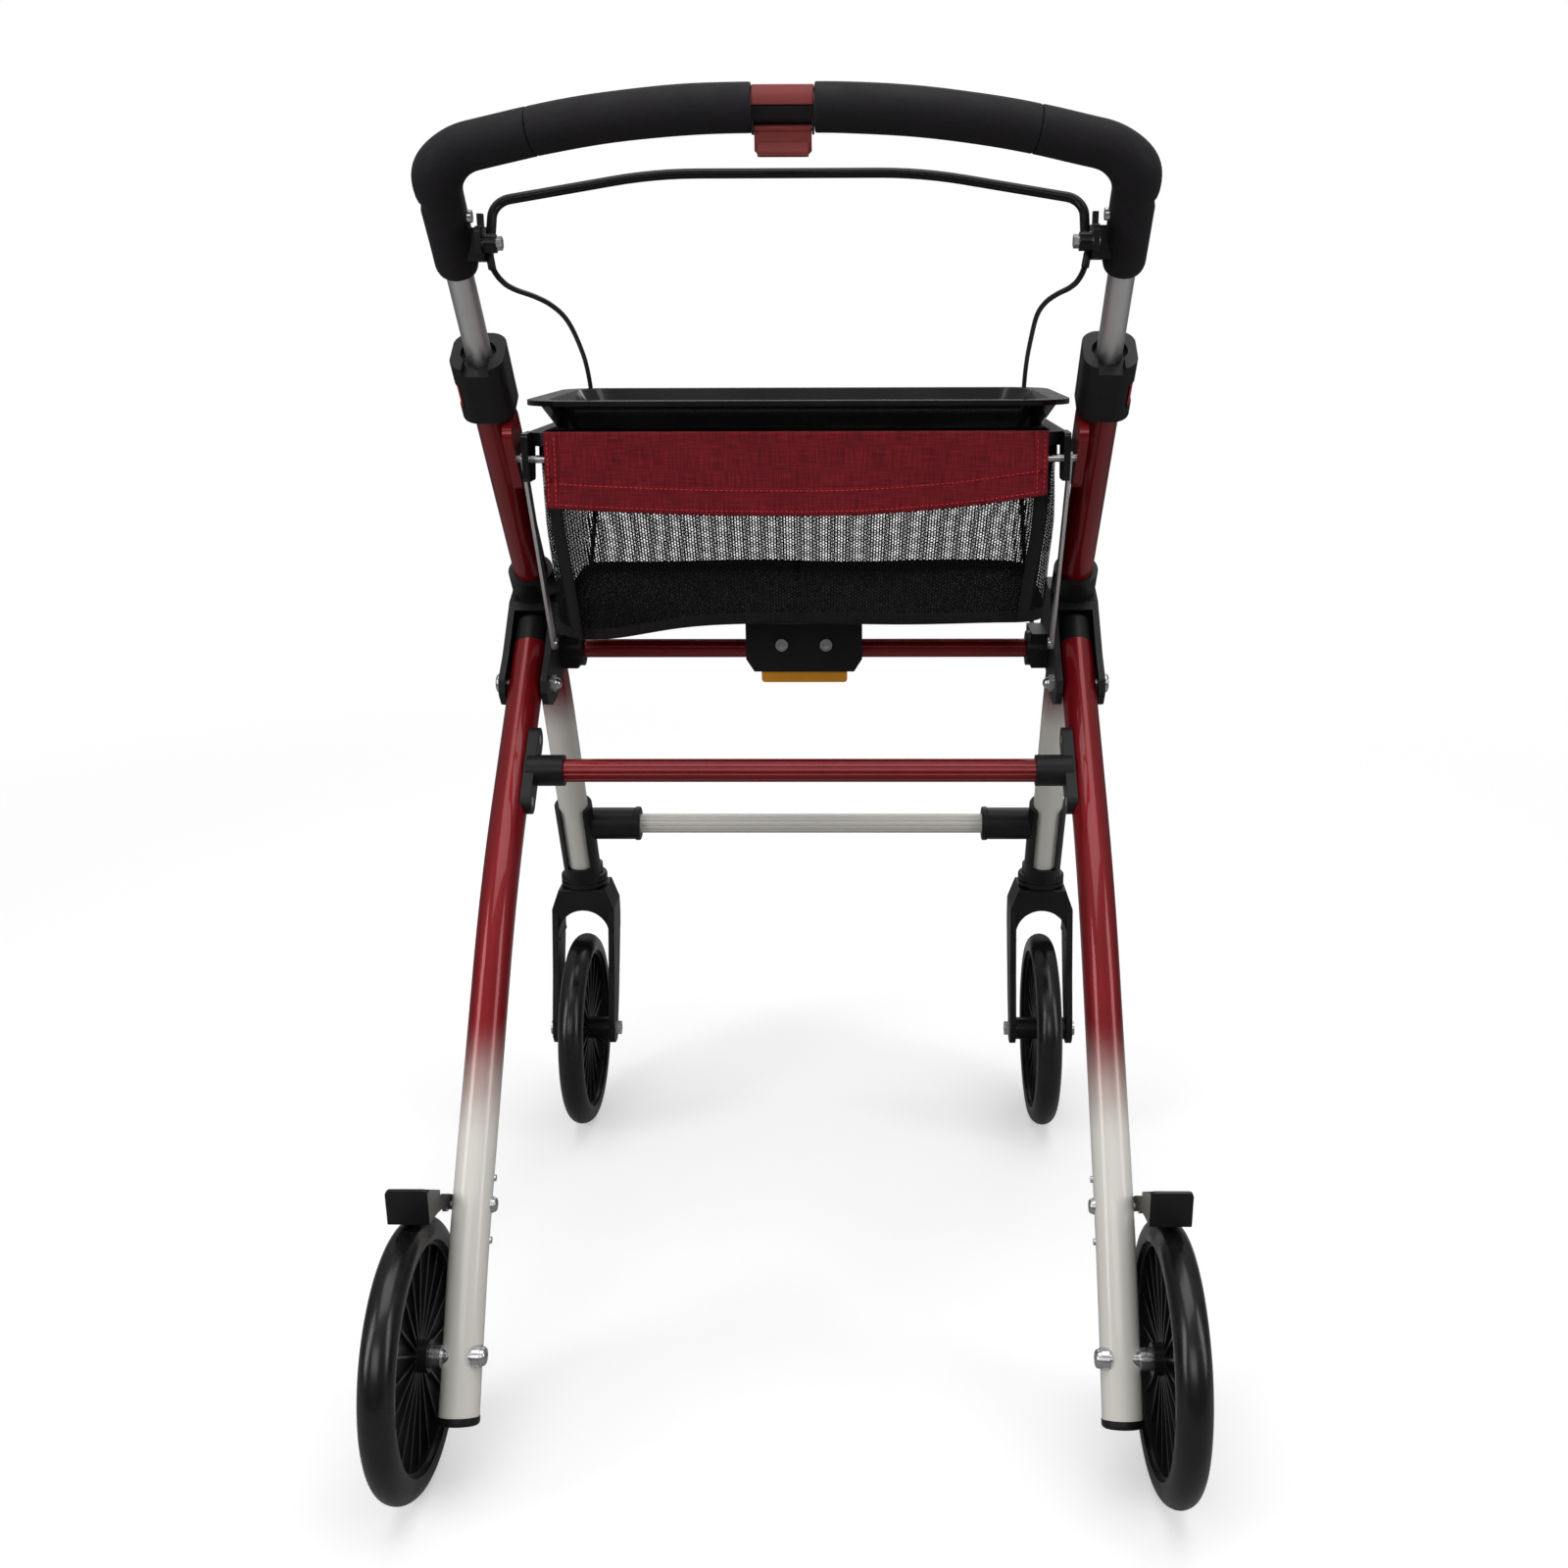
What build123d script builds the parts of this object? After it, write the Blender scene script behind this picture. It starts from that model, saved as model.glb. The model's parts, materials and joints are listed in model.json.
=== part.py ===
from build123d import *
import os
from math import atan2, cos, degrees, pi, radians, sin, sqrt, tan

# A folding walking frame on four wheels.  Millimetres, X to the user's right,
# Y forward, Z up, origin on the floor under the middle of the wheelbase.

# wheels
wheel_radius = 95.0
tyre_width = 24.0
tyre_depth = 17.0
rib_count = 20
rear_axle = (261.5, -258.0, wheel_radius)
front_axle_y = 258.0
swivel_y = 296.0

# tubes
side_x = 229.0
frame_tube_radius = 14.0
frame_wall = 2.0
cross_tube_radius = 9.3
upper_cross_radius = 8.0
cross_wall = 1.6

# main tube, seen from the side
lean = 36.18
tube_top_v = -25.0
stem_origin = (2.6, 755.0)
main_bend = (193.5, 494.0)
main_foot = (292.8, 242.3)
main_bend_radius = 600.0

# rear leg, seen from the side
leg_foot = (-272.0, 57.0)
leg_bend_low = (-214.0, 155.0)
leg_bend_high = (-55.0, 365.0)
leg_top = (133.0, 534.0)
fold_pin = (86.0, 492.0)

# handle, in its own leaning plane
stem_radius = 9.5
stem_wall = 1.8
grip_radius = 15.0
handle_corner_v = 160.0
handle_bar_v = 192.0
handle_bar_half = 100.0
handle_corner_radius = 36.0
palm_radius = 20.0
palm_v = 146.0
handle_bar_radius = 650.0
grip_foot_v = 78.0
grip_split_x = 161.0
stem_foot_v = -170.0
cover_half = 20.0

# brake lever
lever_pivot = (198.0, -76.0, 831.0)
lever_rod_radius = 3.3
lever_lean = 30.0

# cross tubes
upper_cross = (160.0, 506.0)
lower_cross = (20.8, 436.0)
front_cross = (274.0, 307.0)

# tray, basket and their holder
tray_half = 211.0
tray_middle = 146.0
tray_top = 722.0
holder_rod = (30.0, 680.0)

running_fit = 0.05
out = "parts"
os.makedirs(out, exist_ok=True)


def bx(x0, x1, y0, y1, z0, z1):
    """A box from its limits."""
    return Pos((x0 + x1) / 2, (y0 + y1) / 2, (z0 + z1) / 2) * Box(x1 - x0, y1 - y0, z1 - z0)


def cyl_x(radius, x0, x1, y, z):
    """A round bar along X."""
    return Pos((x0 + x1) / 2, y, z) * Rot(0, 90, 0) * Cylinder(radius, abs(x1 - x0))


def cyl_y(radius, x, y0, y1, z):
    """A round bar along Y."""
    return Pos(x, (y0 + y1) / 2, z) * Rot(90, 0, 0) * Cylinder(radius, abs(y1 - y0))


def cyl_z(radius, x, y, z0, z1):
    """A round bar along Z."""
    return Pos(x, y, (z0 + z1) / 2) * Cylinder(radius, abs(z1 - z0))


def side_plate(points, x0, x1):
    """A flat plate across X from its outline of (y, z) points."""
    face = make_face(Polyline(*[(x0, y, z) for y, z in points], close=True))
    return extrude(face, amount=x1 - x0, dir=(1, 0, 0))


def round_plate(points, radius, x0, x1):
    """A flat plate across X whose outline corners are rounded."""
    solid = side_plate(points, x0, x1)
    return fillet(solid.edges().filter_by(Axis.X), radius)


def pipe(path, radius):
    """A round bar along a path."""
    start = path @ 0
    section = Plane(origin=start, z_dir=path % 0) * Circle(radius)
    return sweep(section, path=path)


def tube(path, radius, wall):
    """A hollow round tube along a path."""
    start = path @ 0
    ring = Plane(origin=start, z_dir=path % 0) * (Circle(radius) - Circle(radius - wall))
    return sweep(ring, path=path)


def mirrored(solid):
    """The same piece on the left-hand side."""
    return mirror(solid, about=Plane.YZ)


def save(name, shape):
    """Write one node."""
    shape.label = name
    export_step(shape, os.path.join(out, name + ".step"))
    print(name, "solids", len(shape.solids()), "volume", round(shape.volume))


def save_pair(name, shape):
    """Write a right-hand node and its mirror image."""
    save(name + "_right", shape)
    save(name + "_left", mirrored(shape))


def group(solids):
    """Several separate solids kept as one node."""
    return Compound(children=list(solids))


def bend_fillet(points, radii):
    """Straight runs joined by tangent arcs."""
    return FilletPolyline(*points, radius=radii)


# axis of the stem and the straight upper part of the main tube
up_axis = Vector(0, -sin(radians(lean)), cos(radians(lean)))
out_axis = Vector(0, cos(radians(lean)), sin(radians(lean)))


def on_axis(x, v, w=0.0):
    """A point of the leaning plane: v up along the stem, w forward from it."""
    base = Vector(x, stem_origin[0], stem_origin[1])
    return base + up_axis * v + out_axis * w


def leaning(x, v, w=0.0):
    """A local frame whose z runs up the stem and whose x runs across."""
    return Plane(origin=on_axis(x, v, w), x_dir=(1, 0, 0), z_dir=up_axis)


# ---------------------------------------------------------------- main tubes
tube_top = on_axis(side_x, tube_top_v)
main_path = bend_fillet(
    [
        (side_x, tube_top.Y, tube_top.Z),
        (side_x, main_bend[0], main_bend[1]),
        (side_x, main_foot[0], main_foot[1]),
    ],
    main_bend_radius,
)
main_tube = tube(main_path, frame_tube_radius, frame_wall)
main_solid = pipe(main_path, frame_tube_radius)
save_pair("main_tube", main_tube)

# ---------------------------------------------------------------- rear legs
leg_path = bend_fillet(
    [
        (side_x, leg_foot[0], leg_foot[1]),
        (side_x, leg_bend_low[0], leg_bend_low[1]),
        (side_x, leg_bend_high[0], leg_bend_high[1]),
        (side_x, leg_top[0], leg_top[1]),
    ],
    [700.0, 700.0],
)
plug_length = 26.0
leg_direction = Vector(0, leg_top[0] - leg_bend_high[0], leg_top[1] - leg_bend_high[1]).normalized()
plug_start = Vector(side_x, leg_top[0], leg_top[1]) - leg_direction * plug_length
leg_tube_path = bend_fillet(
    [
        (side_x, leg_foot[0], leg_foot[1]),
        (side_x, leg_bend_low[0], leg_bend_low[1]),
        (side_x, leg_bend_high[0], leg_bend_high[1]),
        (side_x, plug_start.Y, plug_start.Z),
    ],
    [700.0, 700.0],
)
leg_solid = pipe(leg_path, frame_tube_radius)
axle_hole = cyl_x(5.0, 200, 280, rear_axle[1], rear_axle[2])
pin_hole = cyl_x(4.0, 200, 280, fold_pin[0], fold_pin[1])
rear_leg = tube(leg_tube_path, frame_tube_radius, frame_wall) - axle_hole
brake_pin = (-196.0, 176.0)
brake_hole = cyl_x(3.5, 200, 280, brake_pin[0], brake_pin[1])
rear_leg = rear_leg - brake_hole - pin_hole
save_pair("rear_leg", rear_leg)

plug_frame = Plane(origin=plug_start, x_dir=(1, 0, 0), z_dir=leg_direction)
plug_cap = plug_frame * (Pos(0, 0, plug_length / 2) * Cylinder(frame_tube_radius, plug_length))
plug_cap = fillet(plug_cap.edges().filter_by(GeomType.CIRCLE).sort_by(lambda e: e.center().Z)[-1], 4.0)
plug_neck = plug_frame * (Pos(0, 0, -10.0) * Cylinder(frame_tube_radius - frame_wall, 20.0))
leg_plug = plug_cap + plug_neck - pin_hole
save("leg_top_plugs", group([leg_plug.solid(), mirrored(leg_plug.solid())]))

foot_direction = Vector(0, leg_bend_low[0] - leg_foot[0], leg_bend_low[1] - leg_foot[1]).normalized()
foot_frame = Plane(origin=(side_x, leg_foot[0], leg_foot[1]), x_dir=(1, 0, 0), z_dir=foot_direction)
cap_head = foot_frame * (Pos(0, 0, -3.0) * Cylinder(frame_tube_radius + 0.5, 6.0))
cap_head = fillet(cap_head.edges().filter_by(GeomType.CIRCLE).sort_by(lambda e: e.center().Z)[0], 3.0)
cap_neck = foot_frame * (Pos(0, 0, 6.0) * Cylinder(frame_tube_radius - frame_wall, 12.0))
foot_cap = cap_head + cap_neck
save("leg_end_caps", group([foot_cap, mirrored(foot_cap)]))

# ---------------------------------------------------------------- fold joint
cheek = [
    (176, 566), (150, 560), (132, 552), (114, 534), (94, 514), (73, 498), (71, 486),
    (78, 476), (92, 472), (112, 474), (138, 484), (160, 492), (186, 488), (204, 486),
    (211, 498), (202, 520), (190, 545),
]
bracket = round_plate(cheek, 3.0, side_x - 20.0, side_x + 20.0)
gap_half = frame_tube_radius + 0.6
swing = Vector(leg_top[0] - fold_pin[0], leg_top[1] - fold_pin[1], 0).length + 4.0
slot = cyl_x(swing, side_x - gap_half, side_x + gap_half, fold_pin[0], fold_pin[1])
slot_front = side_plate([(86, 492), (210, 420), (60, 400), (0, 430)], side_x - gap_half, side_x + gap_half)
collar = leaning(side_x, -252.0) * Cylinder(frame_tube_radius + 4.5, 70.0)
bracket = bracket - slot - slot_front
bracket = bracket + (collar - slot) - main_solid
socket = cyl_x(15.0, 192.0, side_x - 18.0, upper_cross[0], upper_cross[1])
cross_y, cross_z = upper_cross
socket_web = bx(196.0, side_x - 18.0, cross_y - 14.0, 196.0, cross_z - 15.0, cross_z + 15.0)
bracket = bracket + socket + socket_web
bracket = bracket - main_solid
bracket = bracket - cyl_x(upper_cross_radius, 150, side_x - 20.0, upper_cross[0], upper_cross[1])
bracket = bracket - cyl_x(4.0, 180, 280, fold_pin[0], fold_pin[1])
print("bracket solids", [round(s.volume) for s in bracket.solids()])
bracket = bracket.solids().sort_by(lambda s: s.volume)[-1]
save_pair("joint_bracket", bracket)

bolt = cyl_x(4.0 - running_fit, side_x - 20.0, side_x + 20.0, fold_pin[0], fold_pin[1])
bolt_head = cyl_x(8.0, side_x + 20.0, side_x + 24.0, fold_pin[0], fold_pin[1])
bolt_head = fillet(bolt_head.edges().filter_by(GeomType.CIRCLE).sort_by(Axis.X)[-1], 2.5)
nut_face = Plane(origin=(side_x - 20.0, fold_pin[0], fold_pin[1]), z_dir=(-1, 0, 0))
nut = nut_face * extrude(RegularPolygon(7.0, 6), 5.0)
nut_dome = Pos(side_x - 25.0, fold_pin[0], fold_pin[1]) * Sphere(5.0)
fold_bolt = bolt + bolt_head + nut + nut_dome
save("fold_bolts", group([fold_bolt.solid(), mirrored(fold_bolt.solid())]))

# ---------------------------------------------------------------- cross tubes


def fluted_tube(radius, half_length, y, z, flutes):
    """An extruded cross tube with grooves along it."""
    ring = Circle(radius) - Circle(radius - cross_wall)
    groove = PolarLocations(radius + 0.7, flutes) * Circle(1.3)
    section = Plane(origin=(-half_length, y, z), z_dir=(1, 0, 0)) * (ring - groove)
    return extrude(section, amount=2 * half_length)


socket_face = side_x - 20.0
save("upper_crossbar", fluted_tube(upper_cross_radius, socket_face, *upper_cross, 10))
save("lower_crossbar", fluted_tube(cross_tube_radius, side_x - 19.0, *lower_cross, 12))
save("front_crossbar", fluted_tube(cross_tube_radius, side_x - 19.5, *front_cross, 12))

# bracket that carries the lower cross tube on the rear leg
leg_slope = degrees(atan2(leg_top[1] - leg_bend_high[1], leg_top[0] - leg_bend_high[0]))
along_leg = (0, cos(radians(leg_slope)), sin(radians(leg_slope)))
pad_frame = Plane(origin=(side_x - 14.0, *lower_cross), x_dir=along_leg, z_dir=(-1, 0, 0))
pad = pad_frame * extrude(Pos(0, 0, -4.0) * SlotOverall(78.0, 19.0), 8.5)
lower_socket = cyl_x(12.5, side_x - 41.0, side_x - 12.0, *lower_cross)
crossbar_bracket = pad + lower_socket - leg_solid - cyl_x(cross_tube_radius, 150, side_x - 19.0, *lower_cross)
screw_spots = [
    (side_x, lower_cross[0] + reach * along_leg[1], lower_cross[1] + reach * along_leg[2])
    for reach in (-29.0, 29.0)
]
pad_screws = []
for spot in screw_spots:
    crossbar_bracket = crossbar_bracket - cyl_x(4.0, spot[0] - 20.0, spot[0] - 16.0, spot[1], spot[2])
    crossbar_bracket = crossbar_bracket - cyl_x(2.2, spot[0] - 17.0, spot[0] - 5.0, spot[1], spot[2])
    screw = cyl_x(4.0, spot[0] - 18.4, spot[0] - 16.0, spot[1], spot[2])
    screw = screw + (cyl_x(2.2, spot[0] - 17.0, spot[0] - 13.4, spot[1], spot[2]) - leg_solid)
    pad_screws.append(screw.solids().sort_by(lambda s: s.volume)[-1])
crossbar_bracket = crossbar_bracket.solids().sort_by(lambda s: s.volume)[-1]
save("crossbar_brackets", group([crossbar_bracket, mirrored(crossbar_bracket)]))
save("bracket_screws", group(pad_screws + [mirrored(s) for s in pad_screws]))

# ---------------------------------------------------------------- height clamps
clamp_low = -43.0
clamp_high = 6.0
clamp_frame = leaning(side_x, 0.0)
clamp_section = RectangleRounded(39.0, 43.0, 13.0)
clamp = clamp_frame * extrude(Pos(0, 0, clamp_low) * clamp_section, clamp_high - clamp_low)
top_recess = clamp_frame * (Pos(0, 0, clamp_high - 3.0) * Cylinder(13.0, 6.1))
top_notch = clamp_frame * (Pos(0, -15.0, clamp_high - 3.0) * Box(19.0, 30.0, 6.1))
tube_bore = clamp_frame * (
    Pos(0, 0, (clamp_low + tube_top_v) / 2) * Cylinder(frame_tube_radius, tube_top_v - clamp_low)
)
stem_bore = clamp_frame * (
    Pos(0, 0, (clamp_high + tube_top_v) / 2) * Cylinder(stem_radius + running_fit, clamp_high - tube_top_v)
)
button_v = -22.0
button_height = 20.0
window = clamp_frame * (Pos(20.15, -12.0, button_v) * Box(12.0, 20.4, button_height + 0.4))
clamp = clamp - top_recess - top_notch - tube_bore - stem_bore - window - main_solid
print("clamp solids", [round(s.volume) for s in clamp.solids()])
clamp = clamp.solids().sort_by(lambda s: s.volume)[-1]
save_pair("height_clamp", clamp)

button = clamp_frame * (Pos(17.2, -12.0, button_v) * Box(3.0, 20.0, button_height))
button_section = Pos(0, 0, clamp_low) * RectangleRounded(37.4, 41.4, 12.2)
button_outline = clamp_frame * extrude(button_section, clamp_high - clamp_low)
save_pair("height_button", (button & button_outline).solid())

# ---------------------------------------------------------------- tray lugs, holder and stays
lug_frame = Plane(origin=on_axis(side_x - 18.0, -75.0, -13.0), x_dir=up_axis, z_dir=(1, 0, 0))
lug = lug_frame * extrude(RectangleRounded(60.0, 34.0, 10.0), 7.0)
lug = lug - main_solid - cyl_x(3.0, 190, 240, *holder_rod)
lug = lug.solids().sort_by(lambda s: s.volume)[-1]
save("tray_lugs", group([lug, mirrored(lug)]))

rod_half = side_x - 11.0
rod = cyl_x(3.0, -rod_half, rod_half, *holder_rod)
save("holder_rod", rod)

ring_out = Pos(0, (22.0 + 246.0) / 2, 690.0) * extrude(RectangleRounded(408.0, 224.0, 18.0), 10.0)
ring_in = Pos(0, (30.0 + 238.0) / 2, 680.0) * extrude(RectangleRounded(386.0, 208.0, 12.0), 30.0)
ear = round_plate([(16, 664), (40, 664), (46, 690), (46, 700), (16, 700)], 3.0, 201.0, 206.0)
holder = ring_out - ring_in + ear + mirrored(ear) - rod
save("tray_holder", holder.solid())

stay_low = (104.0, 522.0)
stay_angle = atan2(stay_low[1] - holder_rod[1], stay_low[0] - holder_rod[0])
stay_length = sqrt((stay_low[0] - holder_rod[0]) ** 2 + (stay_low[1] - holder_rod[1]) ** 2)
stay_mid = ((stay_low[0] + holder_rod[0]) / 2, (stay_low[1] + holder_rod[1]) / 2)
stay_frame = Plane(origin=(206.3, *stay_mid), x_dir=(0, cos(stay_angle), sin(stay_angle)), z_dir=(1, 0, 0))
stay = stay_frame * extrude(SlotOverall(stay_length + 10.0, 10.0), 2.6)
stay = stay - cyl_x(3.0, 200, 212, *holder_rod) - cyl_x(2.5, 200, 212, *stay_low)
save("stays", group([stay.solid(), mirrored(stay.solid())]))
stay_pin = cyl_x(2.5, 206.3, side_x - 20.0, *stay_low) + cyl_x(4.5, 204.3, 206.3, *stay_low)
save("stay_pins", group([stay_pin.solid(), mirrored(stay_pin.solid())]))

# ---------------------------------------------------------------- fold latch
plate_y = (142.0, 159.0)
latch_outline = [(-50.0, 531.0), (50.0, 531.0), (50.0, 500.0), (43.0, 489.0), (-43.0, 489.0), (-50.0, 500.0)]
latch_face = make_face(Polyline(*[(x, plate_y[0], z) for x, z in latch_outline], close=True))
latch_plate = extrude(latch_face, amount=plate_y[1] - plate_y[0], dir=(0, 1, 0))
latch_plate = latch_plate - cyl_x(upper_cross_radius, -60, 60, *upper_cross)
tab_slot = bx(-37.6, 37.6, 144.7, 149.3, 480.0, 501.0)
latch_plate = latch_plate - tab_slot
latch_screws = []
for x in (-19.0, 19.0):
    latch_plate = latch_plate - cyl_y(2.4, x, 140.0, 146.0, 513.0)
    screw = cyl_y(5.3, x, 138.0, 142.0, 513.0) + cyl_y(2.4, x, 141.0, 146.0, 513.0)
    socket_hex = Plane(origin=(x, 138.0, 513.0), z_dir=(0, 1, 0)) * extrude(RegularPolygon(2.9, 6), 2.4)
    latch_screws.append((screw - socket_hex).solid())
print("latch plate solids", [round(s.volume) for s in latch_plate.solids()])
save("latch_plate", latch_plate.solids().sort_by(lambda s: s.volume)[-1])
save("latch_screws", group(latch_screws))
tab = bx(-37.0, 37.0, 145.0, 149.0, 479.0, 499.0)
tab = fillet(tab.edges().filter_by(Axis.Y), 3.0)
save("fold_lock_tab", tab.solid())

# ---------------------------------------------------------------- caster housings
foot_run = Vector(0, main_foot[0] - main_bend[0], main_foot[1] - main_bend[1]).normalized()
sleeve_length = 96.0
sleeve_top = Vector(side_x, *main_foot) - foot_run * sleeve_length
sleeve_frame = Plane(origin=sleeve_top, x_dir=(1, 0, 0), z_dir=foot_run)
sleeve = sleeve_frame * extrude(Circle(18.0), sleeve_length)
bearing_z = (236.0, 249.0)
block = cyl_z(22.8, side_x, swivel_y, *bearing_z)
block = fillet(block.edges().filter_by(GeomType.CIRCLE), 2.5)
block = block - (cyl_z(30.0, side_x, swivel_y, 241.5, 243.0) - cyl_z(21.4, side_x, swivel_y, 241.0, 243.5))
neck = cyl_z(19.0, side_x, swivel_y - 1.0, 246.0, 258.0)
front_socket = cyl_x(15.5, 170.0, side_x - 5.0, *front_cross)
ring_groove = cyl_x(16.5, 166.5, 172.0, *front_cross)
ring_groove = fillet(ring_groove.edges().filter_by(GeomType.CIRCLE), 1.5)
window_outline = [(190, 380), (262, 330), (278, 268), (284, 262), (230, 252), (190, 300)]
back_window = side_plate(window_outline, side_x - 11.0, side_x + 11.0)
housing = sleeve + block + neck + front_socket + ring_groove
housing = housing - back_window - main_solid - cyl_x(cross_tube_radius, 150, side_x - 19.5, *front_cross)
pivot_radius = 8.0
housing = housing - cyl_z(pivot_radius + running_fit, side_x, swivel_y, 230.0, 244.0)
housing = housing - bx(side_x - 40.0, side_x + 40.0, 240.0, 340.0, 200.0, bearing_z[0])
print("housing solids", [round(s.volume) for s in housing.solids()])
housing = housing.solids().sort_by(lambda s: s.volume)[-1]
save_pair("caster_housing", housing)

# ---------------------------------------------------------------- caster forks
arm_points = [
    (277, 214), (316, 214), (317, 206), (308, 174), (284, 120), (272, 99), (271, 87), (262, 81),
    (250, 82), (244, 91), (247, 107), (262, 152), (272, 192),
]
arm_in = 25.0
arm_out = 31.0
arm = round_plate(arm_points, 3.5, side_x + arm_in, side_x + arm_out)
other_arm = round_plate(arm_points, 3.5, side_x - arm_out, side_x - arm_in)
crown_top = 235.6
crown_outline = [
    (-arm_out, 182.0), (-arm_out, 215.0), (-23.5, crown_top), (23.5, crown_top), (arm_out, 215.0),
    (arm_out, 182.0),
]
crown_face = make_face(Polyline(*[(side_x + x, 276.5, z) for x, z in crown_outline], close=True))
crown = extrude(crown_face, amount=40.0, dir=(0, 1, 0))
crown = fillet(crown.edges().filter_by(Axis.Y).group_by(Axis.Z)[1], 8.0)
crown = crown - cyl_y(arm_in, side_x, 260.0, 330.0, 189.0)
crown_side = [(276, 170), (276, crown_top + 0.4), (317, crown_top + 0.4), (317.5, 200), (308, 170)]
crown = crown & round_plate(crown_side, 3.0, side_x - 40.0, side_x + 40.0)
fork = crown + arm + other_arm
fork = fork - bx(side_x - 60.0, side_x + 60.0, 200.0, 340.0, crown_top, 260.0)
fork = fork - cyl_x(4.0, side_x - 40.0, side_x + 40.0, front_axle_y, wheel_radius)
print("fork solids", [round(s.volume) for s in fork.solids()])
fork = fork.solids().sort_by(lambda s: s.volume)[-1]
pivot = cyl_z(pivot_radius, side_x, swivel_y, 222.0, 243.5)
save_pair("caster_fork", (fork + pivot).solid())

# ---------------------------------------------------------------- wheels
tyre_inner = wheel_radius - tyre_depth
rim_depth = 3.2
hub_radius = 11.0
axle_radius = 5.0


def tyre_at(x, y, z):
    """A round-shouldered solid tyre."""
    crown_r = tyre_width / 2
    section = Pos(0, wheel_radius - crown_r) * Circle(crown_r)
    section = section + Pos(0, (wheel_radius - crown_r + tyre_inner) / 2) * Rectangle(
        tyre_width - 3.0, wheel_radius - crown_r - tyre_inner
    )
    section = section & (Pos(0, tyre_inner + 50.0) * Rectangle(100.0, 100.0))
    section = Plane.XZ * section
    return Pos(x, y, z) * revolve(section, axis=Axis.X)


def rim_at(x, y, z, hub_half):
    """A rim on a closed web with thin radial ribs, and its hub."""
    wheel = Rot(0, 90, 0) * (Cylinder(tyre_inner, 15.0) - Cylinder(tyre_inner - rim_depth, 15.0))
    wheel = wheel + Rot(0, 90, 0) * Cylinder(hub_radius, 2 * hub_half)
    wheel = wheel + Rot(0, 90, 0) * Cylinder(tyre_inner - rim_depth / 2, 3.0)
    reach = tyre_inner - rim_depth / 2
    for k in range(rib_count):
        rib = Rot(360.0 * k / rib_count, 0, 0) * Pos(0, 0, (reach + hub_radius - 3.0) / 2)
        wheel = wheel + rib * Box(10.0, 1.8, reach - hub_radius + 3.0)
    wheel = wheel - Rot(0, 90, 0) * Cylinder(axle_radius, 2 * hub_half + 2.0)
    return Pos(x, y, z) * wheel


front_hub_half = 24.0
save_pair("front_tyre", tyre_at(side_x, front_axle_y, wheel_radius))
save_pair("front_rim", rim_at(side_x, front_axle_y, wheel_radius, front_hub_half).solid())
rear_hub_half = 12.0
save_pair("rear_tyre", tyre_at(*rear_axle))
save_pair("rear_rim", rim_at(*rear_axle, rear_hub_half).solid())


def hex_x(size, x, y, z, length, direction):
    """A hexagon head along X."""
    face = Plane(origin=(x, y, z), z_dir=(direction, 0, 0))
    return face * extrude(RegularPolygon(size, 6), length)


front_axle = cyl_x(axle_radius - running_fit, side_x - arm_in, side_x + arm_in, front_axle_y, wheel_radius)
front_axle = front_axle + cyl_x(4.0, side_x - arm_out, side_x + arm_out, front_axle_y, wheel_radius)
front_axle = front_axle + hex_x(7.5, side_x - arm_out, front_axle_y, wheel_radius, 5.0, -1)
outer_cap = cyl_x(7.0, side_x + arm_out, side_x + arm_out + 3.0, front_axle_y, wheel_radius)
front_axle = front_axle + outer_cap
save_pair("front_axle", front_axle.solid())

axle_y, axle_z = rear_axle[1], rear_axle[2]
rear_bolt = cyl_x(axle_radius - running_fit, 212.0, rear_axle[0] + rear_hub_half + 0.4, axle_y, axle_z)
rear_head = cyl_x(6.5, side_x - 18.6, side_x - 14.5, axle_y, axle_z)
rear_head = fillet(rear_head.edges().filter_by(GeomType.CIRCLE).sort_by(Axis.X)[0], 2.6)
rear_bolt = rear_bolt + rear_head - hex_x(2.6, side_x - 19.0, axle_y, axle_z, 2.4, 1)
spacer = cyl_x(8.0, side_x + 12.0, rear_axle[0] - rear_hub_half - 0.4, axle_y, axle_z)
end_cap = cyl_x(8.0, rear_axle[0] + rear_hub_half + 0.3, rear_axle[0] + rear_hub_half + 3.0, axle_y, axle_z)
head_washer = cyl_x(7.6, side_x - 14.8, side_x - 9.0, axle_y, axle_z)
rear_bolt = rear_bolt + ((spacer + head_washer) - leg_solid) + end_cap
print("rear bolt solids", [round(s.volume) for s in rear_bolt.solids()])
rear_bolt = rear_bolt.solids().sort_by(lambda s: s.volume)[-1]
save("rear_axle_bolts", group([rear_bolt, mirrored(rear_bolt)]))

# ---------------------------------------------------------------- rear brakes
shoe_gap = 5.0
shoe_thick = 3.5
shoe_in = wheel_radius + shoe_gap
arm_x = (side_x + 14.6, side_x + 17.6)
shoe_x = (arm_x[0], rear_axle[0] + 11.0)
shoe_ring = cyl_x(shoe_in + shoe_thick, *shoe_x, axle_y, axle_z) - cyl_x(shoe_in, *shoe_x, axle_y, axle_z)
wedge = []
for angle in (64.0, 84.0):
    wedge.append((axle_y + 160.0 * cos(radians(angle)), axle_z + 160.0 * sin(radians(angle))))
shoe = shoe_ring & side_plate([(axle_y, axle_z), wedge[0], wedge[1]], *shoe_x)
arm_end = []
shoe_out = shoe_in + shoe_thick
arm_corners = ((84.0, shoe_in), (84.0, shoe_out), (64.0, shoe_out + 6.0), (60.0, shoe_in))
for angle, radius in arm_corners:
    arm_end.append((axle_y + radius * cos(radians(angle)), axle_z + radius * sin(radians(angle))))
pin_y, pin_z = brake_pin
pin_boss = [(pin_y - 2, pin_z + 10), (pin_y + 9, pin_z + 2), (pin_y + 2, pin_z - 9)]
brake_arm = side_plate(arm_end[:3] + pin_boss + arm_end[3:], *arm_x)
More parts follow.
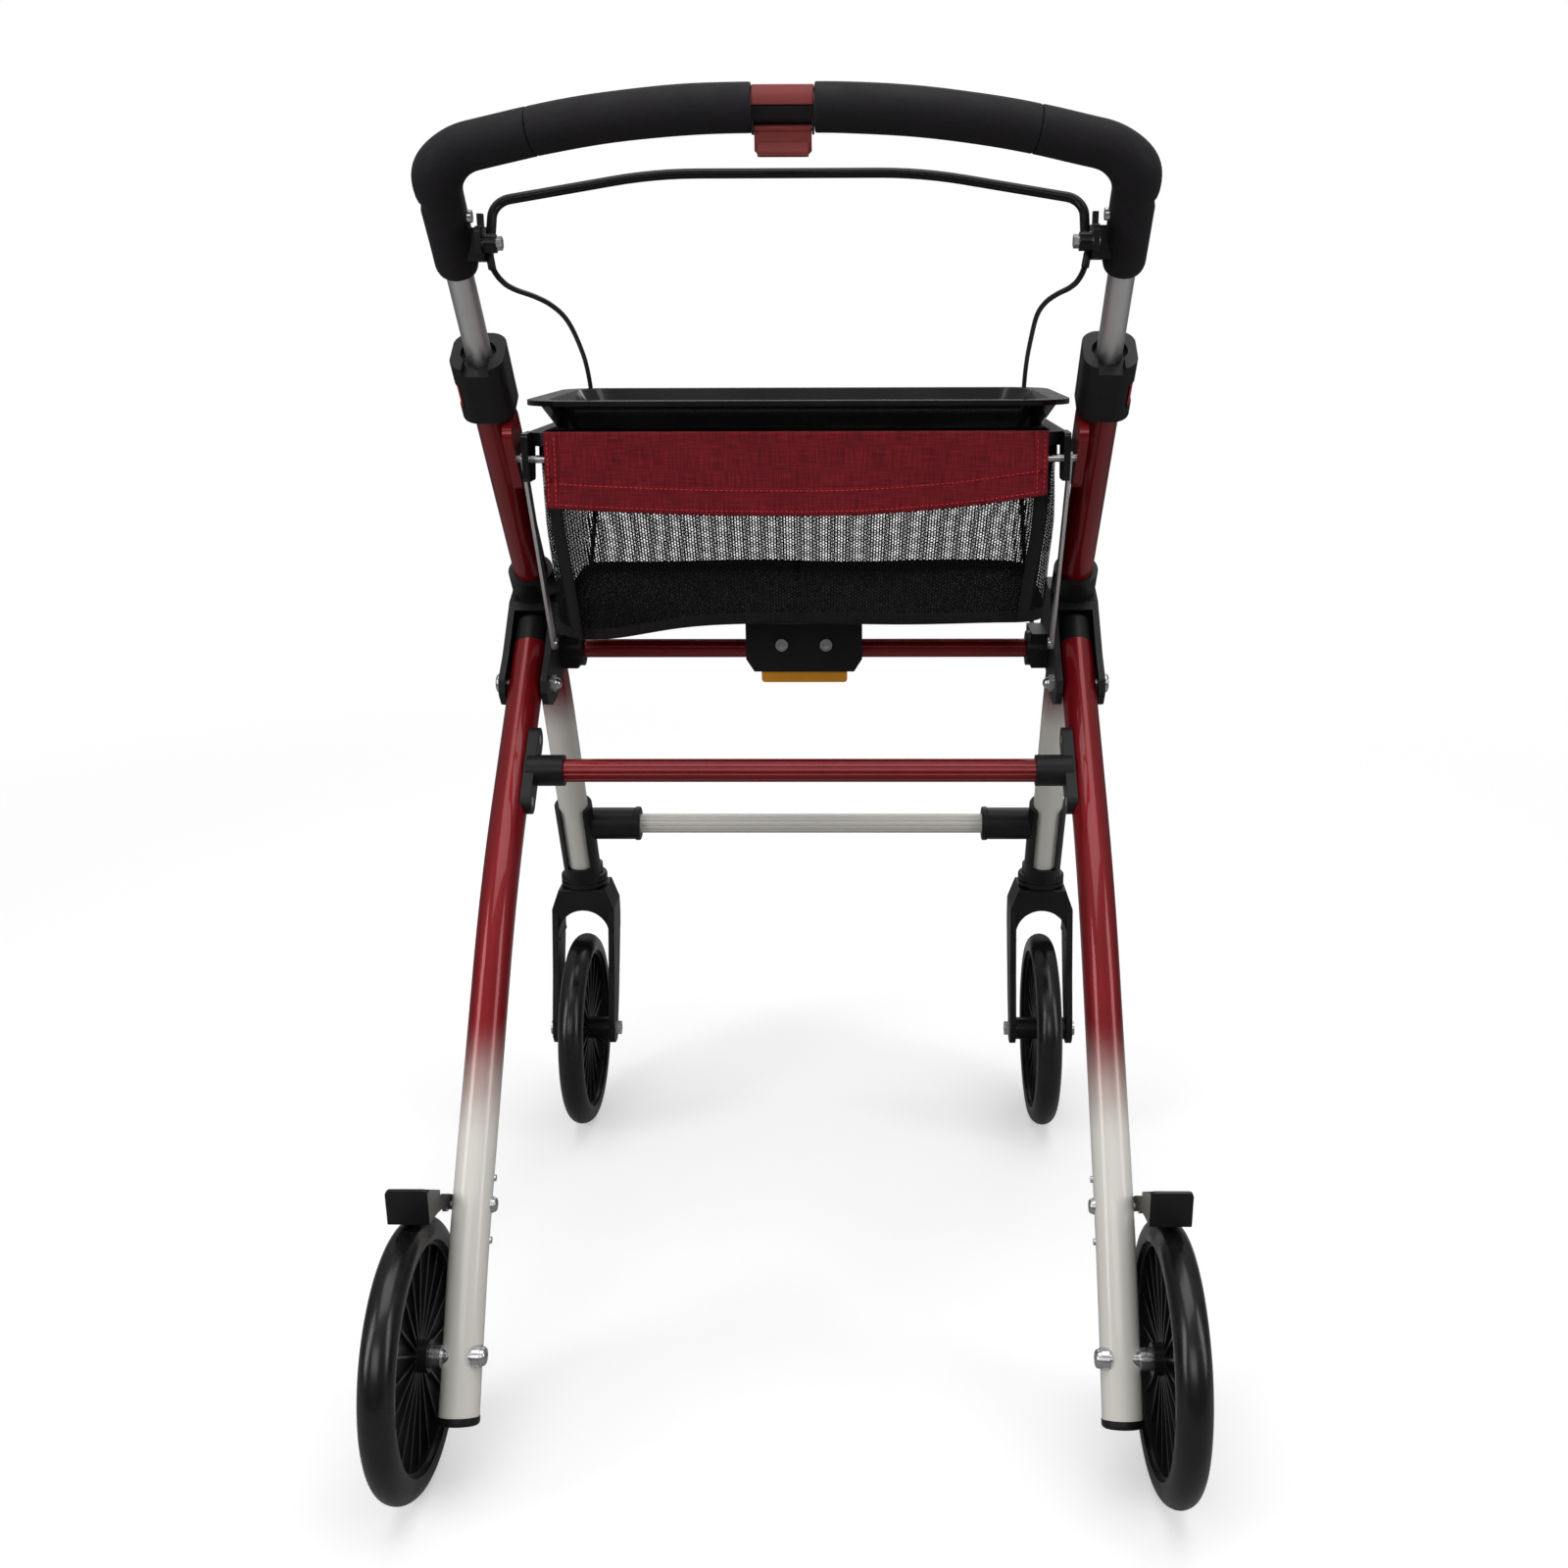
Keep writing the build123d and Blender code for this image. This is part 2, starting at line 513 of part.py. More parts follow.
# upright pedal plate at the rear edge of the shoe, with its bend into the arm
pedal = bx(arm_x[0], shoe_x[1], -251.0, -248.0, axle_z + shoe_in + 1.5, axle_z + shoe_in + 25.5)
pedal = fillet(pedal.edges().filter_by(Axis.Y), 3.0)
pedal_foot = bx(*shoe_x, -251.0, -246.0, axle_z + shoe_in - 0.4, axle_z + shoe_in + 5.0)
cheek_points = [(-251.0, 196.0), (-251.0, 217.0), (-246.0, 219.0), (-222.0, 204.0), (-222.0, 190.0)]
pedal_cheek = side_plate(cheek_points, *arm_x)
brake_shoe = shoe + brake_arm + pedal + pedal_foot + pedal_cheek
brake_shoe = brake_shoe - cyl_x(3.5 + running_fit, 230, 260, *brake_pin)
brake_shoe = brake_shoe - cyl_x(shoe_in, side_x + 10.0, rear_axle[0] + 20.0, axle_y, axle_z)
print("brake shoe solids", [round(s.volume) for s in brake_shoe.solids()])
save_pair("brake_shoe", brake_shoe.solids().sort_by(lambda s: s.volume)[-1])

brake_bolt = cyl_x(3.5, side_x - 16.0, arm_x[1] + 0.4, *brake_pin)
bolt_head = cyl_x(5.2, side_x - 17.6, side_x - 14.4, *brake_pin)
bolt_head = fillet(bolt_head.edges().filter_by(GeomType.CIRCLE).sort_by(Axis.X)[0], 2.0)
brake_bolt = brake_bolt + bolt_head - hex_x(2.2, side_x - 18.0, *brake_pin, 2.0, 1)
bolt_collar = cyl_x(5.8, side_x - 14.8, side_x - 8.0, *brake_pin) - leg_solid
brake_bolt = brake_bolt + bolt_collar + hex_x(5.5, arm_x[1] + 0.3, *brake_pin, 3.0, 1)
small_screws = []
for spot in ((brake_pin[0] + 11.0, brake_pin[1] + 15.0), (brake_pin[0] - 14.0, brake_pin[1] - 20.0)):
    small = cyl_x(2.4, side_x - 15.4, side_x - 8.0, *spot) - leg_solid
    small_screws.append(small.solids().sort_by(Axis.X)[0])
brake_bolt = brake_bolt.solids().sort_by(lambda s: s.volume)[-1]
brake_bits = [brake_bolt] + small_screws
save("brake_bolts", group(brake_bits + [mirrored(s) for s in brake_bits]))

# ---------------------------------------------------------------- handle


def handle_path(foot_v):
    """The bow of the handle, from one stem foot to the other."""
    corners = [
        (-side_x, foot_v), (-side_x, handle_corner_v), (-handle_bar_half, handle_bar_v),
        (handle_bar_half, handle_bar_v), (side_x, handle_corner_v), (side_x, foot_v),
    ]
    radii = [handle_corner_radius, handle_bar_radius, handle_bar_radius, handle_corner_radius]
    return bend_fillet([tuple(on_axis(x, v)) for x, v in corners], radii)


loop_path = handle_path(stem_foot_v)
handle_tube = tube(loop_path, stem_radius, stem_wall)
save("handle_tube", handle_tube)
grip_path = handle_path(grip_foot_v)
grip_solid = pipe(grip_path, grip_radius)
bar_solid = pipe(loop_path, stem_radius)
foam = grip_solid - bar_solid
palm = leaning(side_x - 3.0, palm_v) * Sphere(palm_radius)
split_gap = 0.15
corner_cut = bx(grip_split_x + split_gap, 300, -300, 100, 780, 960)
corner_grip = (grip_solid & corner_cut) + palm - bar_solid
save_pair("corner_grip", corner_grip.solid())
bar_cut = bx(cover_half, grip_split_x - split_gap, -300, 100, 780, 960)
save_pair("foam_grip", (foam & bar_cut).solid())

# stem guides inside the main tubes
guide_radius = frame_tube_radius - frame_wall - running_fit
guide_frame = leaning(side_x, stem_foot_v)
guide = guide_frame * (Pos(0, 0, -3.0) * Cylinder(guide_radius, 6.0))
guide = guide + guide_frame * (Pos(0, 0, 6.0) * Cylinder(stem_radius - stem_wall, 12.0))
save("stem_guides", group([guide.solid(), mirrored(guide.solid())]))

# cover, its base and the parking latch
cover_radius = 13.4
base_radius = 11.2
bar_frame = leaning(0.0, handle_bar_v)
cover = bar_frame * (Rot(0, 90, 0) * Cylinder(cover_radius, 2 * cover_half - 0.6))
cover = fillet(cover.edges().filter_by(GeomType.CIRCLE), 1.2)
upper_half = bar_frame * (Rot(-29.0, 0, 0) * Pos(0, 0, 31.8) * Box(60.0, 60.0, 60.0))
base_shell = bar_frame * (Rot(0, 90, 0) * Cylinder(base_radius, 2 * cover_half - 0.6))
save("centre_cover", ((cover & upper_half) - bar_solid).solid())
latch_v = handle_bar_v - 7.94
latch_w = -11.5
latch_pin_radius = 1.2
latch_reach = 16.3
hinge = on_axis(0.0, latch_v, latch_w)
bar_middle = on_axis(0.0, handle_bar_v)
ear_x = (18.4, cover_half - 0.3)
ear_points = [
    (hinge.Y - 3.4, hinge.Z - 3.0), (hinge.Y + 3.4, hinge.Z - 3.0), (bar_middle.Y + 9.0, bar_middle.Z - 4.0),
    (bar_middle.Y - 9.0, bar_middle.Z - 4.0),
]
ear = side_plate(ear_points, *ear_x)
base = (base_shell - upper_half) + ear + mirrored(ear)
base = base - bar_solid - cover.intersect(upper_half)
hinge_pin = cyl_x(latch_pin_radius, -ear_x[1], ear_x[1], hinge.Y, hinge.Z)
base = base.solids().sort_by(lambda s: s.volume)[-1]
save("cover_base", (base + hinge_pin).solid())
latch_half = 18.1
barrel = cyl_x(latch_pin_radius + 1.2, -latch_half, latch_half, hinge.Y, hinge.Z)
blade = bx(-latch_half, latch_half, hinge.Y - 1.6, hinge.Y + 1.4, hinge.Z - latch_reach, hinge.Z)
blade = chamfer(blade.edges().filter_by(Axis.Y).group_by(Axis.Z)[0], 3.5)
lip = bx(-latch_half + 2.0, latch_half - 2.0, hinge.Y - 6.0, hinge.Y, hinge.Z - latch_reach, hinge.Z - 8.0)
lip_corners = [(-8.0, -7.0), (-1.6, -7.0), (-6.5, -14.5), (-8.0, -14.5)]
lip_cut = side_plate([(hinge.Y + y, hinge.Z + z) for y, z in lip_corners], -30.0, 30.0)
parking_latch = barrel + blade + (lip - lip_cut)
parking_latch = parking_latch - cyl_x(latch_pin_radius + running_fit, -30.0, 30.0, hinge.Y, hinge.Z)
save("parking_latch", parking_latch.solid())

# lever brackets, pivots and the brake lever
px, py, pz = lever_pivot
lever_bracket = bx(px + 4.8, px + 8.4, py - 8.0, py + 20.0, pz - 11.0, pz + 11.0)
lever_bracket = fillet(lever_bracket.edges().filter_by(Axis.X), 4.0)
lever_bracket = lever_bracket + bx(px + 4.8, px + 20.0, py + 16.0, py + 30.0, pz - 11.0, pz + 11.0)
lever_bracket = lever_bracket + bx(px + 4.8, px + 8.4, py + 1.0, py + 7.0, pz + 9.0, pz + 19.0)
lever_bracket = lever_bracket - grip_solid - cyl_x(2.95, px - 20.0, px + 30.0, py, pz)
lever_bracket = lever_bracket.solids().sort_by(lambda s: s.volume)[-1]
save("lever_brackets", group([lever_bracket, mirrored(lever_bracket)]))
lever_bolt = cyl_x(2.95, px - 5.0, px + 9.5, py, pz) + hex_x(4.6, px - 4.4, py, pz, 3.6, -1)
lever_bolt = lever_bolt - grip_solid
grip_screw = leaning(side_x - grip_radius, 116.0) * (Rot(0, 90, 0) * Cylinder(4.2, 5.0)) - grip_solid
grip_screw = grip_screw.solids().sort_by(Axis.X)[0]
lever_bits = [lever_bolt.solids().sort_by(lambda s: s.volume)[-1], grip_screw]
save("lever_bolts", group(lever_bits + [mirrored(s) for s in lever_bits]))

lever_up = Vector(0, sin(radians(lever_lean)), cos(radians(lever_lean)))


def lever_point(x, p):
    """A point of the brake lever, p up from its pivot line."""
    return tuple(Vector(x, py, pz) + lever_up * p)


lever_path = bend_fillet(
    [lever_point(-px, 4.0), lever_point(-px, 31.0), lever_point(-90.0, 52.0), lever_point(90.0, 52.0),
     lever_point(px, 31.0), lever_point(px, 4.0)],
    [14.0, 300.0, 300.0, 14.0],
)
lever = pipe(lever_path, lever_rod_radius)
eye = cyl_x(6.2, px - 4.0, px + 4.0, py, pz)
lever = lever + eye + mirrored(eye)
lever_hole = cyl_x(2.95 + running_fit, px - 10.0, px + 10.0, py, pz)
lever = lever - lever_hole - mirrored(lever_hole)
save("brake_lever", lever.solid())

# ---------------------------------------------------------------- brake cables
cable_radius = 2.0
cable_points = [
    (200.0, -68.0, 816.8), (199.5, -56.0, 811.0), (198.5, -36.0, 805.5), (197.0, -8.0, 802.0),
    (194.0, 30.0, 799.0), (191.0, 70.0, 794.5), (190.0, 109.0, 788.5), (191.0, 143.0, 783.0),
    (192.5, 174.0, 776.5), (194.0, 203.0, 768.5), (195.0, 230.0, 758.5), (195.7, 256.0, 746.5),
    (196.3, 277.0, 730.0), (196.8, 292.0, 708.0), (197.2, 298.0, 682.0), (197.6, 297.0, 654.0),
    (198.0, 290.0, 626.0), (198.5, 279.0, 599.0), (199.2, 264.0, 573.0), (200.2, 246.0, 549.0),
    (201.6, 226.0, 528.0), (203.0, 210.0, 515.5), (203.0, 197.6, 509.6),
]
cable_radii = []
for before, here, after in zip(cable_points, cable_points[1:], cable_points[2:]):
    run_in = Vector(*here) - Vector(*before)
    run_out = Vector(*after) - Vector(*here)
    turn = radians(run_in.get_angle(run_out))
    cable_radii.append(0.45 * min(run_in.length, run_out.length) / tan(turn / 2))
print("cable radii", [round(r) for r in cable_radii])
cable_path = bend_fillet(cable_points, cable_radii)
cable = pipe(cable_path, cable_radius)
print("cable volume", round(cable.volume), "expected", round(pi * cable_radius ** 2 * cable_path.length))
save("brake_cables", group([cable.solid(), mirrored(cable.solid())]))

# ---------------------------------------------------------------- basket and flap
basket_top = 688.5
basket_low = 546.0
basket_wall = 2.4


def basket_form(inset, low, high):
    """The tapered form of the basket, drawn in by an inset."""
    top = Pos(0, 136.0, high) * RectangleRounded(399.0 - 2 * inset, 198.0 - 2 * inset, 22.0 - inset)
    bottom = Pos(0, 142.0, low) * RectangleRounded(394.0 - 2 * inset, 176.0 - 2 * inset, 26.0 - inset)
    return loft([bottom, top])


basket_space = basket_form(basket_wall, basket_low + basket_wall, basket_top + 4.0)
basket = basket_form(0.0, basket_low, basket_top) - basket_space
save("basket", basket.solid())

flap_edge = Polyline((-190, 18.5, 644), (-190, 18.5, 701), (190, 18.5, 701), (190, 18.5, 653))
flap_hem = Spline((190, 18.5, 653), (95, 18.5, 642), (0, 18.5, 638), (-95, 18.5, 638), (-190, 18.5, 644))
flap = extrude(make_face([flap_edge, flap_hem]), amount=2.6, dir=(0, 1, 0))
save("basket_flap", flap.solid())

# ---------------------------------------------------------------- tray
rim_plate = Pos(0, tray_middle, tray_top - 4.0) * extrude(RectangleRounded(2 * tray_half, 208.0, 34.0), 4.0)
body_top = Pos(0, tray_middle, tray_top - 4.0) * RectangleRounded(404.0, 194.0, 30.0)
body_low = Pos(0, tray_middle, 700.4) * RectangleRounded(380.0, 176.0, 24.0)
dish_top = Pos(0, tray_middle, tray_top + 0.5) * RectangleRounded(392.0, 184.0, 26.0)
dish_low = Pos(0, tray_middle, 703.2) * RectangleRounded(372.0, 168.0, 22.0)
tray = rim_plate + loft([body_low, body_top]) - loft([dish_low, dish_top])
save("tray", tray.solid())
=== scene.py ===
import json
import math
import bpy
import numpy as np
from mathutils import Matrix, Vector


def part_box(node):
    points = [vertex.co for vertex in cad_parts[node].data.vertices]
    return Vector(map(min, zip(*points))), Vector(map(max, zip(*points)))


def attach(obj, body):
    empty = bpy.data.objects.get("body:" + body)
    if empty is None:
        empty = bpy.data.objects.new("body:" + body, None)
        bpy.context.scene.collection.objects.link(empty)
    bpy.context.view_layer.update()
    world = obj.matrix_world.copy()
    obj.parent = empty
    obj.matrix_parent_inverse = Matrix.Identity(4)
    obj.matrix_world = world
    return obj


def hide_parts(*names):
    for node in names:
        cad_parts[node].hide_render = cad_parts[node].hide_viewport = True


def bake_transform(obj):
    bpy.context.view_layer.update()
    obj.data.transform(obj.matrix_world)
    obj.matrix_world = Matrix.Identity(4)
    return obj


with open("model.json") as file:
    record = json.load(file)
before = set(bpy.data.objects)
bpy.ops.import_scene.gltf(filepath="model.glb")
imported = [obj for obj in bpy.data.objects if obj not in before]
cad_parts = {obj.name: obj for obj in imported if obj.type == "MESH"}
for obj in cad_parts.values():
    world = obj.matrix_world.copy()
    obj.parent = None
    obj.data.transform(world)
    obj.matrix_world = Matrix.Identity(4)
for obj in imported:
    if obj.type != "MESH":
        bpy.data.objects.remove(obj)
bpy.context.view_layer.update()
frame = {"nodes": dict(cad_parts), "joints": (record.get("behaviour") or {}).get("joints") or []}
nodes = frame["nodes"]
joints = {j["name"]: j for j in frame["joints"]}


# ---------------------------------------------------------------- shader helpers
def new_material(name):
    """A material, its node tree and its Principled shader."""
    material = bpy.data.materials.new(name)
    material.use_nodes = True
    tree = material.node_tree
    return material, tree, tree.nodes["Principled BSDF"]


def add(tree, kind, **values):
    """A shader node with its inputs set from values or linked from sockets."""
    made = tree.nodes.new(kind)
    for key, value in values.items():
        target = made.inputs[int(key[1:])] if key[0] == "i" and key[1:].isdigit() else None
        if target is None and key.replace("_", " ") in made.inputs:
            target = made.inputs[key.replace("_", " ")]
        if target is None:
            setattr(made, key, value)
        elif isinstance(value, bpy.types.NodeSocket):
            tree.links.new(value, target)
        else:
            target.default_value = value
    return made


def place(tree, scale=(1, 1, 1), source="Object"):
    """Coordinates fixed to the piece, stretched by scale."""
    coordinates = add(tree, "ShaderNodeTexCoord")
    return add(tree, "ShaderNodeMapping", Vector=coordinates.outputs[source], Scale=scale).outputs[0]


def noise(tree, where, scale, detail=3.0, roughness=0.55):
    made = add(tree, "ShaderNodeTexNoise", Vector=where, Scale=scale, Detail=detail, Roughness=roughness)
    return made.outputs["Fac"]


def math_node(tree, operation, a, b=0.0, clamp=False):
    made = add(tree, "ShaderNodeMath", operation=operation, i0=a, i1=b)
    made.use_clamp = clamp
    return made.outputs[0]


def remap(tree, value, low, high, to_low=0.0, to_high=1.0, smooth=False):
    made = add(tree, "ShaderNodeMapRange", i0=value, i1=low, i2=high, i3=to_low, i4=to_high)
    made.interpolation_type = "SMOOTHSTEP" if smooth else "LINEAR"
    return made.outputs[0]


def blend_colour(tree, factor, first, second):
    made = tree.nodes.new("ShaderNodeMix")
    made.data_type = "RGBA"
    for socket, value in ((made.inputs[0], factor), (made.inputs[6], first), (made.inputs[7], second)):
        if isinstance(value, bpy.types.NodeSocket):
            tree.links.new(value, socket)
        else:
            socket.default_value = (*value, 1.0) if hasattr(value, "__len__") else value
    return made.outputs[2]


def bump(tree, shader, height, strength, distance, below=None):
    made = add(tree, "ShaderNodeBump", Height=height, Strength=strength, Distance=distance)
    if below is not None:
        tree.links.new(below, made.inputs["Normal"])
    tree.links.new(made.outputs[0], shader.inputs["Normal"])
    return made.outputs[0]


def soft_edge(tree, radius):
    return add(tree, "ShaderNodeBevel", Radius=radius, samples=4).outputs[0]


def set_values(shader, **values):
    for key, value in values.items():
        shader.inputs[key.replace("_", " ")].default_value = value


# ---------------------------------------------------------------- materials
RED = (0.30, 0.008, 0.012)
DEEP_RED = (0.17, 0.004, 0.007)
WHITE = (0.80, 0.775, 0.71)


def car_paint(name, white_below=None, red_above=None, base=RED, deep=DEEP_RED):
    """Metallic lacquer under a clear coat, which may fade to white lower down."""
    material, tree, shader = new_material(name)
    where = place(tree)
    flakes = noise(tree, where, 2600.0, 1.0)
    clouds = noise(tree, where, 9.0, 2.0)
    patches = remap(tree, clouds, 0.3, 0.7, -0.25, 0.25)
    tone = math_node(tree, "ADD", remap(tree, flakes, 0.35, 0.65), patches, True)
    colour = blend_colour(tree, tone, deep, base)
    if white_below is not None:
        coordinates = add(tree, "ShaderNodeTexCoord")
        height = add(tree, "ShaderNodeSeparateXYZ", Vector=coordinates.outputs["Object"]).outputs[2]
        drift = math_node(tree, "SUBTRACT", noise(tree, where, 30.0, 4.0), 0.5)
        drift = math_node(tree, "MULTIPLY", drift, 0.012)
        fade = remap(tree, math_node(tree, "ADD", height, drift), white_below, red_above, smooth=True)
        colour = blend_colour(tree, fade, WHITE, colour)
        tree.links.new(math_node(tree, "MULTIPLY", fade, 0.45), shader.inputs["Metallic"])
    elif base is RED:
        set_values(shader, Metallic=0.45)
    tree.links.new(colour, shader.inputs["Base Color"])
    tree.links.new(remap(tree, flakes, 0.3, 0.7, 0.30, 0.42), shader.inputs["Roughness"])
    set_values(shader, Coat_Weight=0.6, Coat_Roughness=0.04, Specular_IOR_Level=0.2)
    bump(tree, shader, noise(tree, where, 260.0, 2.0), 0.06, 0.0004)
    return material


def plastic(name, colour, roughness, grain=900.0, depth=0.12, edge=0.0007, coat=0.0, painted_reflection=0.0):
    """Moulded plastic with a fine grain and soft edges."""
    material, tree, shader = new_material(name)
    where = place(tree)
    clouds = noise(tree, where, 14.0, 4.0)
    grains = noise(tree, where, grain, 2.0)
    lighter = tuple(min(1.0, c * 1.5 + 0.004) for c in colour)
    tone = blend_colour(tree, remap(tree, clouds, 0.3, 0.75), colour, lighter)
    # Painted reflection: lighter streaks, drawn out along z, stand for glossy highlights on the black
    # plastic.
    if painted_reflection:
        reflection_streaks = remap(tree, noise(tree, place(tree, (1, 1, 0.25)), 160.0, 5.0, 0.7), 0.62, 0.75, 0.0, painted_reflection)
        tone = blend_colour(tree, reflection_streaks, tone, tuple(min(1.0, c * 2.5 + 0.03) for c in colour))
    tree.links.new(tone, shader.inputs["Base Color"])
    rough = remap(tree, clouds, 0.3, 0.7, roughness * 0.88, roughness * 1.12)
    tree.links.new(rough, shader.inputs["Roughness"])
    set_values(shader, Coat_Weight=coat, Coat_Roughness=0.06, Specular_IOR_Level=0.28)
    bump(tree, shader, grains, depth, 0.0004, soft_edge(tree, edge))
    return material


def metal(name, colour, roughness, stretch=(1, 1, 1), scale=700.0, depth=0.15, edge=0.0004):
    """Bare metal with fine drawing marks."""
    material, tree, shader = new_material(name)
    lines = noise(tree, place(tree, stretch), scale, 3.0, 0.6)
    clouds = noise(tree, place(tree), 22.0, 4.0)
    tone = blend_colour(tree, clouds, colour, tuple(c * 0.8 for c in colour))
    tree.links.new(tone, shader.inputs["Base Color"])
    rough = math_node(tree, "ADD", remap(tree, lines, 0.3, 0.7, roughness * 0.8, roughness * 1.2),
                      remap(tree, clouds, 0.3, 0.7, -0.04, 0.05))
    tree.links.new(rough, shader.inputs["Roughness"])
    set_values(shader, Metallic=1.0)
    bump(tree, shader, lines, depth, 0.0002, soft_edge(tree, edge))
    return material


def foam(name):
    """Closed-cell foam: black, dull and slightly pitted."""
    material, tree, shader = new_material(name)
    where = place(tree)
    cells = add(tree, "ShaderNodeTexVoronoi", Vector=where, Scale=1500.0).outputs["Distance"]
    clouds = noise(tree, where, 60.0, 5.0)
    tone = blend_colour(tree, clouds, (0.0050, 0.0040, 0.0052), (0.0150, 0.0120, 0.0155))
    tree.links.new(tone, shader.inputs["Base Color"])
    tree.links.new(remap(tree, clouds, 0.3, 0.7, 0.62, 0.78), shader.inputs["Roughness"])
    set_values(shader, Sheen_Weight=0.05, Sheen_Roughness=0.4, Specular_IOR_Level=0.3)
    height = math_node(tree, "ADD", math_node(tree, "MULTIPLY", cells, 0.6), noise(tree, where, 240.0, 4.0))
    bump(tree, shader, height, 0.28, 0.0006)
    return material


def tyre_material(name):
    """Cast polyurethane with a faint dusting on the tread."""
    material, tree, shader = new_material(name)
    where = place(tree)
    dust = remap(tree, noise(tree, where, 45.0, 6.0, 0.65), 0.5, 0.8, 0.0, 0.35)
    tone = blend_colour(tree, dust, (0.0045, 0.0042, 0.0050), (0.022, 0.020, 0.021))
    tree.links.new(tone, shader.inputs["Base Color"])
    tree.links.new(remap(tree, dust, 0.0, 0.35, 0.24, 0.42), shader.inputs["Roughness"])
    bump(tree, shader, noise(tree, where, 700.0, 3.0), 0.1, 0.0004, soft_edge(tree, 0.0005))
    return material


def woven(name, light, dark, thread=0.00038):
    """Plain weave with slubs: warp and weft threads of two tones, laid out in metres by the UVs."""
    material, tree, shader = new_material(name)
    coordinates = add(tree, "ShaderNodeTexCoord")
    split = add(tree, "ShaderNodeSeparateXYZ", Vector=coordinates.outputs["UV"])
    turns = 2 * math.pi / (2 * thread)
    across = math_node(tree, "SINE", math_node(tree, "MULTIPLY", split.outputs[0], turns))
    along = math_node(tree, "SINE", math_node(tree, "MULTIPLY", split.outputs[1], turns))
    check = remap(tree, math_node(tree, "MULTIPLY", across, along), -0.6, 0.6)
    warp = noise(tree, place(tree, (1, 0.05, 1), "UV"), 1100.0, 2.0)
    weft = noise(tree, place(tree, (0.05, 1, 1), "UV"), 1100.0, 2.0)
    slub = blend_colour(tree, check, warp, weft)
    value = add(tree, "ShaderNodeSeparateColor", Color=slub).outputs[0]
    patch = noise(tree, place(tree, source="UV"), 25.0, 4.0)
    fibres = noise(tree, place(tree, source="UV"), 3000.0, 2.0)
    drift = remap(tree, patch, 0.3, 0.7, -0.08, 0.08)
    mixed = math_node(tree, "ADD", remap(tree, value, 0.34, 0.66), drift, True)
    tree.links.new(blend_colour(tree, mixed, dark, light), shader.inputs["Base Color"])
    tree.links.new(remap(tree, fibres, 0.3, 0.7, 0.78, 0.95), shader.inputs["Roughness"])
    set_values(shader, Sheen_Weight=0.04, Sheen_Roughness=0.5, Specular_IOR_Level=0.15)
    height = math_node(tree, "ADD", check, math_node(tree, "MULTIPLY", fibres, 0.6))
    bump(tree, shader, height, 0.35, 0.0004)
    return material


# texture height, in metres, from which the knit is close instead of open
DENSE = 2.0
HOLE_PITCH = (0.0024, 0.0027)
HOLE_HALF = (0.36, 0.41)


def knit(name):
    """Knitted mesh laid out in metres by the UVs: staggered oval holes, close cloth from v = DENSE up."""
    material, tree, shader = new_material(name)
    coordinates = add(tree, "ShaderNodeTexCoord")
    wander = noise(tree, place(tree, source="UV"), 60.0, 2.0)
    split = add(tree, "ShaderNodeSeparateXYZ", Vector=coordinates.outputs["UV"])
    u = math_node(tree, "DIVIDE", split.outputs[0], HOLE_PITCH[0])
    u = math_node(tree, "ADD", u, math_node(tree, "MULTIPLY", wander, 0.4))
    v = math_node(tree, "DIVIDE", split.outputs[1], HOLE_PITCH[1])
    column = math_node(tree, "FLOOR", u)
    shift = math_node(tree, "MULTIPLY", math_node(tree, "FLOORED_MODULO", column, 2.0), 0.5)
    du = math_node(tree, "SUBTRACT", math_node(tree, "FRACT", u), 0.5)
    dv = math_node(tree, "SUBTRACT", math_node(tree, "FRACT", math_node(tree, "ADD", v, shift)), 0.5)
    du = math_node(tree, "DIVIDE", du, HOLE_HALF[0])
    dv = math_node(tree, "DIVIDE", dv, HOLE_HALF[1])
    away = math_node(tree, "ADD", math_node(tree, "POWER", math_node(tree, "ABSOLUTE", du), 2.4),
                     math_node(tree, "POWER", math_node(tree, "ABSOLUTE", dv), 2.4))
    closed = remap(tree, split.outputs[1], DENSE - 0.2, DENSE - 0.1)
    solid = math_node(tree, "MAXIMUM", remap(tree, away, 0.85, 1.15), closed)
    tree.links.new(solid, shader.inputs["Alpha"])
    set_values(shader, Specular_IOR_Level=0.12)
    fibres = noise(tree, place(tree, source="UV"), 2500.0, 3.0)
    tone = blend_colour(tree, fibres, (0.003, 0.0026, 0.003), (0.012, 0.010, 0.011))
    tree.links.new(tone, shader.inputs["Base Color"])
    tree.links.new(remap(tree, fibres, 0.3, 0.7, 0.6, 0.8), shader.inputs["Roughness"])
    cords = math_node(tree, "ADD", remap(tree, away, 0.8, 2.4), math_node(tree, "MULTIPLY", fibres, 0.4))
    bump(tree, shader, cords, 0.4, 0.0004)
    return material


red_upper = car_paint("red_lacquer")
red_to_white_front = car_paint("red_to_white_front", 0.412, 0.470)
red_to_white_rear = car_paint("red_to_white_rear", 0.212, 0.290)
white_paint = car_paint("warm_white_lacquer", base=WHITE, deep=(0.74, 0.72, 0.67))
black_plastic = plastic("black_grained_plastic", (0.0060, 0.0050, 0.0062), 0.42, 1100.0, 0.16)
# The tray and its holder carry painted reflection streaks in their colour.
gloss_black = plastic("black_gloss_plastic", (0.006, 0.006, 0.0068), 0.20, 420.0, 0.05, 0.0009,
                      coat=0.35, painted_reflection=0.15)
wheel_plastic = plastic("black_wheel_plastic", (0.006, 0.006, 0.0065), 0.30, 800.0, 0.1, 0.0006)
dark_red_plastic = plastic("dark_red_soft_plastic", (0.16, 0.022, 0.020), 0.55, 900.0, 0.18)
bright_red_plastic = plastic("red_button_plastic", (0.42, 0.016, 0.020), 0.30, 700.0, 0.08)
orange_plastic = plastic("orange_plastic", (0.62, 0.26, 0.018), 0.36, 700.0, 0.1, 0.0008)
